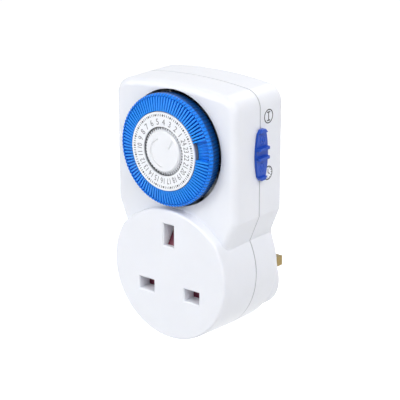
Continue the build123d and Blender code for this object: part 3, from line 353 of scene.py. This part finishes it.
def plastic(name, colour, roughness=0.35, clouds=0.02, grain=0.1, glow=0.0, sheen=0.5):
    """Moulded plastic: the group gives what varies, and the shader holds the rest."""
    material = bpy.data.materials.new(name)
    material.use_nodes = True
    tree = material.node_tree
    shader = tree.nodes["Principled BSDF"]
    group = tree.nodes.new("ShaderNodeGroup")
    group.node_tree = moulded_group
    group.inputs["Color"].default_value = (*colour, 1)
    group.inputs["Clouds"].default_value = clouds
    group.inputs["Roughness"].default_value = roughness
    group.inputs["Grain"].default_value = grain
    shader.inputs["IOR"].default_value = 1.49
    shader.inputs["Specular IOR Level"].default_value = sheen
    shader.inputs["Subsurface Weight"].default_value = glow
    shader.inputs["Subsurface Radius"].default_value = (1.0, 0.9, 0.8)
    shader.inputs["Subsurface Scale"].default_value = 0.6 * MM
    joined(tree, group, shader)
    return material


def metal(name, colour, roughness=0.3, stretch=(4000, 200, 4000), lines=0.05, depth=0.2):
    """Drawn, rolled or wound metal with fine lines along its length."""
    material = bpy.data.materials.new(name)
    material.use_nodes = True
    tree = material.node_tree
    shader = tree.nodes["Principled BSDF"]
    group = tree.nodes.new("ShaderNodeGroup")
    group.node_tree = drawn_group
    group.inputs["Color"].default_value = (*colour, 1)
    group.inputs["Stretch"].default_value = stretch
    group.inputs["Lines"].default_value = lines
    group.inputs["Roughness"].default_value = roughness
    group.inputs["Depth"].default_value = depth
    shader.inputs["Metallic"].default_value = 1.0
    joined(tree, group, shader)
    return material


# %% [markdown]
# ## Finishes
# The housing is white with a faint blue cast, satin rather than glossy. The dial ring and its
# tappets are one mid blue, the slider a deeper one, and the shutter behind the socket's openings
# is maroon. Inside there is what a switch of this kind has: brass pins, bronze clips, nylon
# gears, a zinc plated chassis and a small motor.

# %% The materials
along_y = (3800, 160, 3800)
along_z = (3800, 3800, 160)
polished = (900, 900, 900)
cast = (1500, 1500, 1500)
materials = {
    "housing": plastic("housing_white", (0.80, 0.82, 0.87), 0.34, 0.012, 0.10, glow=0.25),
    "scale": plastic("scale_white", (0.84, 0.86, 0.90), 0.30, 0.010, 0.06, glow=0.2),
    "knob": plastic("knob_white", (0.82, 0.84, 0.88), 0.32, 0.010, 0.08, glow=0.2),
    "ring": plastic("ring_blue", (0.006, 0.200, 0.82), 0.36, 0.03, 0.12, sheen=0.22),
    # The tappets' blue is a lighter copy of the ring's: painted light for their lit front faces.
    "tappet": plastic("tappet_blue", (0.010, 0.260, 0.86), 0.40, 0.05, 0.15, sheen=0.30),
    "slider": plastic("slider_blue", (0.008, 0.072, 0.47), 0.34, 0.04, 0.15, sheen=0.35),
    "shutter": plastic("shutter_maroon", (0.16, 0.018, 0.045), 0.42, 0.05, 0.15),
    "carrier": plastic("carrier_cream", (0.62, 0.60, 0.53), 0.50, 0.04, 0.25),
    "sleeve": plastic("sleeve_black", (0.012, 0.012, 0.014), 0.45, 0.10, 0.2),
    "gear_nylon": plastic("gear_nylon", (0.76, 0.74, 0.66), 0.42, 0.03, 0.15, glow=0.3),
    # Painted shade: the trip is made charcoal, so what shows of it through the gap round the dial
    # stays as dark as the shade there.
    "trip_nylon": plastic("trip_nylon", (0.05, 0.05, 0.056), 0.42, 0.04, 0.15),
    "bobbin": plastic("bobbin_green", (0.03, 0.10, 0.055), 0.45, 0.05, 0.2),
    "rotor_magnet": plastic("rotor_ferrite", (0.03, 0.03, 0.034), 0.62, 0.12, 0.6),
    "lead_pvc": plastic("lead_blue", (0.02, 0.07, 0.32), 0.48, 0.06, 0.15),
    "pin_brass": metal("pin_brass", (0.25, 0.185, 0.075), 0.30, along_y, 0.08, 0.25),
    "clip_bronze": metal("clip_bronze", (0.76, 0.46, 0.24), 0.32, along_y, 0.08, 0.25),
    "contact_silver": metal("contact_silver", (0.86, 0.85, 0.82), 0.24, polished, 0.05, 0.15),
    "steel_plate": metal("zinc_plate", (0.60, 0.62, 0.64), 0.38, along_z, 0.10, 0.25),
    "steel_turned": metal("turned_steel", (0.58, 0.59, 0.61), 0.28, (200, 5200, 200), 0.05, 0.3),
    "screw_steel": metal("screw_zinc", (0.58, 0.58, 0.55), 0.34, (1800, 1800, 1800), 0.08, 0.2),
    "spring_steel": metal("spring_steel", (0.42, 0.43, 0.45), 0.30, (3800, 160, 3800), 0.06, 0.2),
    "motor_steel": metal("motor_cup", (0.64, 0.65, 0.66), 0.32, (200, 5200, 200), 0.06, 0.2),
    "gearbox_alloy": metal("gearbox_alloy", (0.66, 0.67, 0.68), 0.46, cast, 0.10, 0.6),
    "copper_wire": metal("copper_wire", (0.72, 0.26, 0.10), 0.30, (120, 9000, 120), 0.06, 0.9),
}

# %% [markdown]
# ## Painted shade and highlight
# Some shade is finer than the lamps draw: in a joint, between teeth, behind a rim. It is painted
# shade: a factor that multiplies a plastic's colour, worked out from the piece's own coordinates,
# so it turns and slides with the piece. On the dial these are the distance from its axis, the angle
# round it and the depth behind its face. The ribs across the ring's plain rim are painted too, as
# highlight and shade.


# %% Helpers for masks
def within(tree, value, low, high, first, last):
    """A value between low and high becomes one between first and last, and stops there."""
    node = tree.nodes.new("ShaderNodeMapRange")
    node.inputs["From Min"].default_value = low
    node.inputs["From Max"].default_value = high
    node.inputs["To Min"].default_value = first
    node.inputs["To Max"].default_value = last
    link(tree, value, node.inputs["Value"])
    return node.outputs["Result"]


def shaded(material, factor):
    """Multiply what a plastic's group gives as colour by a factor from its own tree."""
    tree = material.node_tree
    target = tree.nodes["Principled BSDF"].inputs["Base Color"]
    link(tree, tinted(tree, target.links[0].from_socket, factor), target)


def own_place(material):
    """The three object coordinates of a material, in metres."""
    tree = material.node_tree
    split = tree.nodes.new("ShaderNodeSeparateXYZ")
    link(tree, tree.nodes.new("ShaderNodeTexCoord").outputs["Object"], split.inputs[0])
    return split.outputs


# %% Where the dial is
dial_height = 48.5 * MM
midnight = radians(28.2)
hour = radians(15)
quarter = hour / 4
hours_in_day = 24
tappet_count = 4 * hours_in_day
dial_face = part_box("dial_ring")[0][1]
print("dial face (m):", round(dial_face, 5))


def dial_polar(material):
    """A material's distance from the dial's axis, its angle round it and its depth along it."""
    tree = material.node_tree
    place = own_place(material)
    level = plus(tree, place["Z"], -dial_height)
    across = plus(tree, place["X"], place["X"], "MULTIPLY")
    squares = plus(tree, plus(tree, level, level, "MULTIPLY"), across)
    return plus(tree, squares, 0.5, "POWER"), plus(tree, level, place["X"], "ARCTAN2"), place["Y"]


def waves(tree, angle, count, phase=0.0):
    """A wave from -1 to 1 with this many crests round the circle, the first at the phase."""
    node = tree.nodes.new("ShaderNodeMath")
    node.operation = "COSINE"
    link(tree, plus(tree, plus(tree, angle, -phase), float(count), "MULTIPLY"), node.inputs[0])
    return node.outputs[0]


# %% Painted shade on the blue ring behind the dial's face, and painted ribs run out to the rim
ring = materials["ring"]
tree = ring.node_tree
distance, angle, depth = dial_polar(ring)
# Painted shade: the ring's rounded edge and its flank darken with depth behind the face, where they
# lie in shade.
edge_start, edge_end = dial_face + 1.0 * MM, dial_face + 2.0 * MM
flank_start, flank_end = dial_face + 2.2 * MM, dial_face + 7.0 * MM
shade_share = 0.28
edge = within(tree, depth, edge_start, edge_end, 1.0, shade_share)
flank = within(tree, depth, flank_start, flank_end, 1.0, shade_share)
# Painted highlight and shade: a lighter and a darker stripe for each tappet run the ribs on across
# the ring's plain rim.
first_tappet = midnight + quarter / 2
painted_ribs = within(tree, waves(tree, angle, tappet_count, first_tappet), -0.2, 0.9, 1.10, 0.60)
painted_ring_shade = plus(tree, plus(tree, edge, flank, "MULTIPLY"), painted_ribs, "MULTIPLY")
shaded(ring, painted_ring_shade)
print("ribs on the ring:", tappet_count)

# %% The scale's edge, which lies in the shade of the tappets
scale = materials["scale"]
tree = scale.node_tree
scale_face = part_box("dial_scale")[0][1]
below_face = dial_polar(scale)[2]
shade_start, shade_end = scale_face + 0.2 * MM, scale_face + 0.9 * MM
shaded(scale, within(tree, below_face, shade_start, shade_end, 1.0, 0.22))
print("scale face (m):", round(scale_face, 5))

# %% Shade in the housing's joint
seam_y = -19.0 * MM
seam_half, seam_fade = 0.10 * MM, 0.34 * MM
tree = materials["housing"].node_tree
off_seam = plus(tree, plus(tree, own_place(materials["housing"])["Y"], -seam_y), 0.0, "ABSOLUTE")
shaded(materials["housing"], within(tree, off_seam, seam_half, seam_fade, 0.45, 1.0))
print("joint (m):", seam_y)

# %% Grooves that hold shade round the knob
knob_teeth = 48
band_start, band_full = 8.0 * MM, 8.5 * MM
tree = materials["knob"].node_tree
place = own_place(materials["knob"])
level = plus(tree, place["Z"], -dial_height)
distance, angle, depth = dial_polar(materials["knob"])
valley = within(tree, waves(tree, angle, knob_teeth), 0.5, -0.7, 0.10, 0.48)
band = within(tree, distance, band_start, band_full, 0.0, 1.0)
loss = plus(tree, plus(tree, valley, band, "MULTIPLY"), -1.0, "MULTIPLY")
shaded(materials["knob"], plus(tree, loss, 1.0))
print("knob teeth:", knob_teeth)

# %% [markdown]
# The setting knob has two soft ridges in its flat face: a long arc that widens a little from end
# to end, and a short straight pointer. Both are a height over the face's plane, worked out from
# the distance to a line, that a Bump node turns into a tilt of the surface.

# %% Two ridges in the knob's face
ridge_half = 0.42 * MM
arc_middle, arc_reach = radians(189.5), radians(77.5)
arc_radius, arc_growth, arc_fade = 5.35 * MM, 0.26 * MM, 0.02
cosine = waves(tree, angle, 1, arc_middle)
sine = waves(tree, angle, 1, arc_middle + pi / 2)
spiral = plus(tree, plus(tree, sine, -arc_growth, "MULTIPLY"), -arc_radius)
off_arc = plus(tree, plus(tree, distance, spiral), 0.0, "ABSOLUTE")
on_arc = within(tree, cosine, cos(arc_reach) - arc_fade, cos(arc_reach) + arc_fade, 0.0, 1.0)
arc_height = plus(tree, within(tree, off_arc, 0.0, ridge_half, 1.0, 0.0), on_arc, "MULTIPLY")
tail, tip = Vector((3.2 * MM, 1.7 * MM)), Vector((4.95 * MM, 4.75 * MM))
along, half_length = (tip - tail).normalized(), (tip - tail).length / 2
middle = (tip + tail) / 2


def off_line(direction):
    """How far a point of the face is from the pointer's middle, along one direction."""
    share_x = plus(tree, place["X"], direction.x, "MULTIPLY")
    share_z = plus(tree, level, direction.y, "MULTIPLY")
    total = plus(tree, plus(tree, share_x, share_z), -middle.dot(direction))
    return plus(tree, total, 0.0, "ABSOLUTE")


beside = within(tree, off_line(Vector((along.y, -along.x))), 0.0, ridge_half, 1.0, 0.0)
between = within(tree, off_line(along), half_length, half_length + 0.1 * MM, 1.0, 0.0)
ridges = tree.nodes.new("ShaderNodeBump")
ridges.inputs["Distance"].default_value = 0.30 * MM
link(tree, plus(tree, arc_height, plus(tree, beside, between, "MULTIPLY")), ridges.inputs["Height"])
normal = tree.nodes["Principled BSDF"].inputs["Normal"]
link(tree, normal.links[0].from_socket, ridges.inputs["Normal"])
link(tree, ridges.outputs["Normal"], normal)
print("arc middle and reach:", round(degrees(arc_middle), 1), round(degrees(arc_reach), 1))

# %% Every piece gets its finish
record_slots = {entry["node"]: entry["material_slot"] for entry in frame["record"]["subparts"]}
for name, node in nodes.items():
    finish = materials[record_slots[name]]
    if not node.material_slots:
        node.data.materials.append(finish)
    for slot in node.material_slots:
        slot.material = finish
print("materials:", len(materials), "pieces finished:", len(nodes))

# %% [markdown]
# ## Printing on the dial
# The white scale carries a tick for each quarter of an hour, a heavier dot for each hour, and the
# hours from 1 to 24, which run anticlockwise because the dial itself turns clockwise. Ticks and
# dots repeat round a circle, which is what Geometry Nodes are for: one small bar or disc is
# instanced on the points of a circle and turned to face outwards.

# %% Where things are on the dial
dial_centre = Vector((0, 0, dial_height))
facing_front = Matrix(((1, 0, 0, 0), (0, 0, -1, 0), (0, 1, 0, 0), (0, 0, 0, 1)))
print("dial centre (m):", round(dial_centre.z, 5))


def on_front(depth_y, turn=0.0, x=0.0, y=0.0):
    """Places a flat drawing on the dial: x right and y up from its centre, facing the viewer."""
    place = Matrix.Translation((dial_centre.x, depth_y, dial_centre.z)) @ facing_front
    return place @ Matrix.Translation((x, y, 0)) @ Matrix.Rotation(turn, 4, "Z")


# %% Helpers that turn drawings into plain meshes
def baked(obj, matrix=None):
    """The evaluated mesh of an object, with its place applied, as a new mesh."""
    bpy.context.view_layer.update()
    depsgraph = bpy.context.evaluated_depsgraph_get()
    mesh = bpy.data.meshes.new_from_object(obj.evaluated_get(depsgraph))
    if matrix is not None:
        mesh.transform(matrix)
    return mesh


def merged(name, meshes, material, body):
    """One piece of several meshes, clean and facing outwards, that rides on a body."""
    whole = bmesh.new()
    for mesh in meshes:
        whole.from_mesh(mesh)
    bmesh.ops.remove_doubles(whole, verts=whole.verts, dist=1e-7)
    bmesh.ops.recalc_face_normals(whole, faces=whole.faces)
    mesh = bpy.data.meshes.new(name)
    whole.to_mesh(mesh)
    whole.free()
    mesh.materials.clear()
    mesh.materials.append(material)
    for face in mesh.polygons:
        face.material_index = 0
    piece = bpy.data.objects.new(name, mesh)
    bpy.context.scene.collection.objects.link(piece)
    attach(piece, body)
    print(name, "faces:", len(mesh.polygons))
    return piece


def drop(obj):
    """Remove a helper object once its mesh has been taken."""
    bpy.data.objects.remove(obj, do_unlink=True)


# %% A Geometry Nodes tree for marks round a circle
def circle_of_marks():
    """Bars or discs on a circle: named sizes in, a plain mesh with its material out."""
    group = bpy.data.node_groups.new("circle_of_marks", "GeometryNodeTree")
    for label, kind, value in (
        ("Count", "NodeSocketInt", 96),
        ("Radius", "NodeSocketFloat", 14 * MM),
        ("Length", "NodeSocketFloat", 1 * MM),
        ("Width", "NodeSocketFloat", 0.2 * MM),
        ("Thickness", "NodeSocketFloat", 0.05 * MM),
        ("Phase", "NodeSocketFloat", 0.0),
        ("Round", "NodeSocketBool", False),
        ("Material", "NodeSocketMaterial", None),
    ):
        socket = group.interface.new_socket(name=label, in_out="INPUT", socket_type=kind)
        if value is not None:
            socket.default_value = value
    group.interface.new_socket(name="Geometry", in_out="OUTPUT", socket_type="NodeSocketGeometry")
    given = group.nodes.new("NodeGroupInput")
    result = group.nodes.new("NodeGroupOutput")
    line = group.nodes.new("GeometryNodeMeshLine")
    line.inputs["Offset"].default_value = (0, 0, 0)
    link(group, given.outputs["Count"], line.inputs["Count"])
    index = group.nodes.new("GeometryNodeInputIndex")
    step = group.nodes.new("ShaderNodeMath")
    step.operation = "DIVIDE"
    step.inputs[0].default_value = 2 * pi
    link(group, given.outputs["Count"], step.inputs[1])
    turned_by = plus(group, index.outputs[0], step.outputs[0], "MULTIPLY")
    angle = plus(group, turned_by, given.outputs["Phase"])
    spin = group.nodes.new("ShaderNodeCombineXYZ")
    link(group, angle, spin.inputs["Z"])
    arm = group.nodes.new("ShaderNodeCombineXYZ")
    link(group, given.outputs["Radius"], arm.inputs["X"])
    turned = group.nodes.new("ShaderNodeVectorRotate")
    turned.rotation_type = "EULER_XYZ"
    link(group, arm.outputs[0], turned.inputs["Vector"])
    link(group, spin.outputs[0], turned.inputs["Rotation"])
    move = group.nodes.new("GeometryNodeSetPosition")
    link(group, line.outputs["Mesh"], move.inputs["Geometry"])
    link(group, turned.outputs[0], move.inputs["Position"])
    size = group.nodes.new("ShaderNodeCombineXYZ")
    link(group, given.outputs["Length"], size.inputs["X"])
    link(group, given.outputs["Width"], size.inputs["Y"])
    link(group, given.outputs["Thickness"], size.inputs["Z"])
    bar = group.nodes.new("GeometryNodeMeshCube")
    link(group, size.outputs[0], bar.inputs["Size"])
    disc = group.nodes.new("GeometryNodeMeshCylinder")
    disc.inputs["Vertices"].default_value = 16
    link(group, plus(group, given.outputs["Length"], 0.5, "MULTIPLY"), disc.inputs["Radius"])
    link(group, given.outputs["Thickness"], disc.inputs["Depth"])
    shape = group.nodes.new("GeometryNodeSwitch")
    shape.input_type = "GEOMETRY"
    link(group, given.outputs["Round"], shape.inputs["Switch"])
    link(group, bar.outputs["Mesh"], shape.inputs["False"])
    link(group, disc.outputs["Mesh"], shape.inputs["True"])
    instances = group.nodes.new("GeometryNodeInstanceOnPoints")
    link(group, move.outputs["Geometry"], instances.inputs["Points"])
    link(group, shape.outputs[0], instances.inputs["Instance"])
    link(group, spin.outputs[0], instances.inputs["Rotation"])
    real = group.nodes.new("GeometryNodeRealizeInstances")
    link(group, instances.outputs["Instances"], real.inputs["Geometry"])
    painted = group.nodes.new("GeometryNodeSetMaterial")
    link(group, real.outputs["Geometry"], painted.inputs["Geometry"])
    link(group, given.outputs["Material"], painted.inputs["Material"])
    link(group, painted.outputs["Geometry"], result.inputs["Geometry"])
    return group


marks_tree = circle_of_marks()


def marks(material, matrix, **sizes):
    """Run the tree once with these sizes and take the plain mesh."""
    helper = bpy.data.objects.new("marks_helper", bpy.data.meshes.new("marks_helper"))
    bpy.context.scene.collection.objects.link(helper)
    modifier = helper.modifiers.new("marks", "NODES")
    modifier.node_group = marks_tree
    sizes["Material"] = material
    for item in marks_tree.interface.items_tree:
        if item.in_out == "INPUT" and item.name in sizes:
            modifier[item.identifier] = sizes[item.name]
    mesh = baked(helper, matrix)
    helper.modifiers.clear()
    drop(helper)
    return mesh


# %% Ticks and hour dots
# Black ink for the print, also used for the painted shade in the screws' cross recesses.
ink_and_shade = plastic("black_ink_and_recess_shade", (0.03, 0.03, 0.036), 0.5, 0.15, 0.1)
pale_ink = plastic("grey_ink", (0.16, 0.16, 0.175), 0.5, 0.15, 0.1)
print_lift = 0.03 * MM
tick_ring = marks(
    ink_and_shade,
    on_front(scale_face),
    Count=tappet_count,
    Radius=13.85 * MM,
    Length=0.95 * MM,
    Width=0.22 * MM,
    Thickness=print_lift,
    Phase=first_tappet,
)
dot_ring = marks(
    ink_and_shade,
    on_front(scale_face),
    Count=hours_in_day,
    Radius=13.8 * MM,
    Length=0.72 * MM,
    Thickness=print_lift * 1.3,
    Phase=first_tappet,
    Round=True,
)
merged("scale_ticks", [tick_ring], ink_and_shade, "dial")
merged("hour_dots", [dot_ring], ink_and_shade, "dial")


# %% [markdown]
# The numerals are text objects. Each is turned so that its top points outwards, placed on its
# hour, and made a mesh, and then all of them become one printed piece.

# %% The hours
def lettering(text, height, narrow):
    """A text's mesh of a given height, centred on the origin in the XY plane."""
    curve = bpy.data.curves.new("lettering", "FONT")
    curve.body = text
    curve.size = 10 * MM
    curve.extrude = print_lift / 2
    curve.resolution_u = 4
    helper = bpy.data.objects.new("lettering", curve)
    bpy.context.scene.collection.objects.link(helper)
    mesh = baked(helper)
    drop(helper)
    low = [min(v.co[axis] for v in mesh.vertices) for axis in range(2)]
    high = [max(v.co[axis] for v in mesh.vertices) for axis in range(2)]
    mesh.transform(Matrix.Translation((-(low[0] + high[0]) / 2, -(low[1] + high[1]) / 2, 0)))
    scale = height / (high[1] - low[1])
    mesh.transform(Matrix.Diagonal((scale * narrow, scale, 1, 1)))
    return mesh


numeral_radius = 11.35 * MM
numeral_height = 2.25 * MM
numerals = []
for number in range(1, hours_in_day + 1):
    angle = midnight + hour * number
    mesh = lettering(str(number), numeral_height, 0.90 if number < 10 else 0.74)
    spot = (numeral_radius * cos(angle), numeral_radius * sin(angle))
    mesh.transform(on_front(scale_face, angle - pi / 2, *spot))
    numerals.append(mesh)
merged("scale_numerals", numerals, pale_ink, "dial")

# %% [markdown]
# ## Beads and arcs
# Small moulded ribs are curves with a round section, turned to plain meshes and sunk a little
# way into the face that carries them.


# %% A raised bead along a path
def bead(points, radius, matrix, closed=False):
    """A round bead along points in the XY plane, as a mesh in its place."""
    curve = bpy.data.curves.new("bead", "CURVE")
    curve.dimensions = "3D"
    curve.bevel_depth = radius
    curve.bevel_resolution = 2
    curve.use_fill_caps = True
    spline = curve.splines.new("POLY")
    spline.points.add(len(points) - 1)
    for point, (x, y) in zip(spline.points, points):
        point.co = (x, y, 0, 1)
    spline.use_cyclic_u = closed
    helper = bpy.data.objects.new("bead", curve)
    bpy.context.scene.collection.objects.link(helper)
    mesh = baked(helper, matrix)
    drop(helper)
    return mesh


def arc(radius, start, end, steps, squeeze=1.0, centre=(0.0, 0.0)):
    """Points along an arc, angles in degrees; squeeze narrows it along X."""
    return [
        (
            centre[0] + squeeze * radius * cos(radians(start + (end - start) * step / steps)),
            centre[1] + radius * sin(radians(start + (end - start) * step / steps)),
        )
        for step in range(steps + 1)
    ]

# %% [markdown]
# ## Symbols on the side
# Two small printed symbols beside the slider say what its ends do: an upright bar in a ring for
# always on, and a clock face for timed. They are flat ink, so they are thin outlines that stand a
# few hundredths of a millimetre off the wall.


# %% Flat outlines for print
def ribbon(points, width, matrix, closed=False):
    """A flat strip of ink along points in the XY plane, a hair thick."""
    inner, outer = [], []
    count = len(points)
    for index, (x, y) in enumerate(points):
        before = Vector(points[index - 1] if index or closed else points[index])
        open_end = index == count - 1 and not closed
        after = Vector(points[index] if open_end else points[(index + 1) % count])
        along = (after - before).normalized()
        across = Vector((-along.y, along.x)) * width / 2
        inner.append(Vector((x, y)) - across)
        outer.append(Vector((x, y)) + across)
    strip = bmesh.new()
    low = [strip.verts.new((p.x, p.y, -print_lift / 2)) for p in inner + outer]
    top = [strip.verts.new((p.x, p.y, print_lift / 2)) for p in inner + outer]
    runs = count if closed else count - 1
    for index in range(runs):
        after = (index + 1) % count
        for side in (low, top):
            strip.faces.new((side[index], side[after], side[after + count], side[index + count]))
        for start, end in ((index, after), (index + count, after + count)):
            strip.faces.new((low[start], low[end], top[end], top[start]))
    if not closed:
        for index in (0, count - 1):
            strip.faces.new((low[index], low[index + count], top[index + count], top[index]))
    mesh = bpy.data.meshes.new("ribbon")
    strip.to_mesh(mesh)
    strip.free()
    mesh.transform(matrix)
    return mesh


# %% The two symbols
side_face = 29.0 * MM
facing_side = Matrix(((0, 0, 1, 0), (1, 0, 0, 0), (0, 1, 0, 0), (0, 0, 0, 1)))
symbol_y = -13.9 * MM
on_height, timed_height = 61.4 * MM, 39.45 * MM
symbol_radius = 2.53 * MM
line_width = 0.44 * MM


def on_side(y, z, x=side_face):
    """Places a flat drawing on the right side wall: x towards the wall outlet, y up."""
    return Matrix.Translation((x, y, z)) @ facing_side


on_place = on_side(symbol_y, on_height)
timed_place = on_side(symbol_y, timed_height)
on_symbol = [
    ribbon(arc(symbol_radius, 0, 360, 48)[:-1], line_width, on_place, closed=True),
    ribbon([(0, -1.6 * MM), (0, 1.6 * MM)], line_width * 1.1, on_place),
    ribbon([(-1.0 * MM, 1.6 * MM), (1.0 * MM, 1.6 * MM)], line_width, on_place),
    ribbon([(-1.0 * MM, -1.6 * MM), (1.0 * MM, -1.6 * MM)], line_width, on_place),
]
timed_symbol = [
    ribbon(arc(symbol_radius, 0, 360, 48)[:-1], line_width, timed_place, closed=True),
    ribbon([(0, 0), (0, 1.5 * MM)], line_width * 0.8, timed_place),
    ribbon([(0, 0), (1.1 * MM, -0.5 * MM)], line_width * 0.8, timed_place),
]
for mark in range(12):
    angle = radians(30 * mark)
    inner = Vector((cos(angle), sin(angle))) * (symbol_radius - 0.75 * MM)
    outer = Vector((cos(angle), sin(angle))) * (symbol_radius - 0.3 * MM)
    timed_symbol.append(ribbon([tuple(inner), tuple(outer)], line_width * 0.7, timed_place))
merged("symbol_on", on_symbol, ink_and_shade, "housing")
merged("symbol_timed", timed_symbol, ink_and_shade, "housing")

# %% [markdown]
# ## Marks in the slider
# Each end of the slider's channel has the same two signs moulded in it, inside a raised oval.

# %% Raised ovals in the slider
slider_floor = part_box("override_slider")[1][0] - 1.45 * MM
pocket_heights = (53.6 * MM, 42.8 * MM)
pocket_radius, pocket_squeeze = 1.75 * MM, 0.72
mark_radius, mark_half = 0.17 * MM, 0.7 * MM
slider_marks = []
for pocket_z in pocket_heights:
    spot = on_side(seam_y, pocket_z, slider_floor)
    oval = arc(pocket_radius, 0, 360, 32, pocket_squeeze)[:-1]
    slider_marks.append(bead(oval, mark_radius, spot, closed=True))
    slider_marks.append(bead([(0, -mark_half), (0, mark_half)], mark_radius, spot))
merged("slider_marks", slider_marks, materials["slider"], "slider")

# %% [markdown]
# ## Driver recesses
# The four screws that hold the halves together have cross recesses. The shade in them is painted:
# dark arms that lie on their heads at the bottom of the screw wells.

# %% Painted shade in the cross recess on each screw head
head_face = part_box("housing_screws")[1][1]
screw_places = ((22.5, 66.5), (19.6, -13.4))
recess_places = [(side * x * MM, z * MM) for x, z in screw_places for side in (-1, 1)]
recess_shades = []
for x, z in recess_places:
    matrix = Matrix.Translation((x, head_face, z)) @ facing_front
    recess_shades.append(
        marks(
            ink_and_shade,
            matrix,
            Count=4,
            Radius=0.55 * MM,
            Length=1.3 * MM,
            Width=0.5 * MM,
            Thickness=print_lift,
            Phase=radians(20),
        )
    )
merged("screw_recess_shade", recess_shades, ink_and_shade, "housing")

# %% [markdown]
# ## The shutter's spring
# A spring shortens when the shutter goes down, which a rigid piece can't show. Its finished mesh
# is a copy of its own that rides on the housing and keeps its length.

# %% A copy of the spring
spring_mesh = nodes["shutter_spring"].data.copy()
spring_mesh.transform(nodes["shutter_spring"].matrix_world)
spring = merged("spring_coils", [spring_mesh], materials["spring_steel"], "housing")
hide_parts("shutter_spring")
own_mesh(spring)
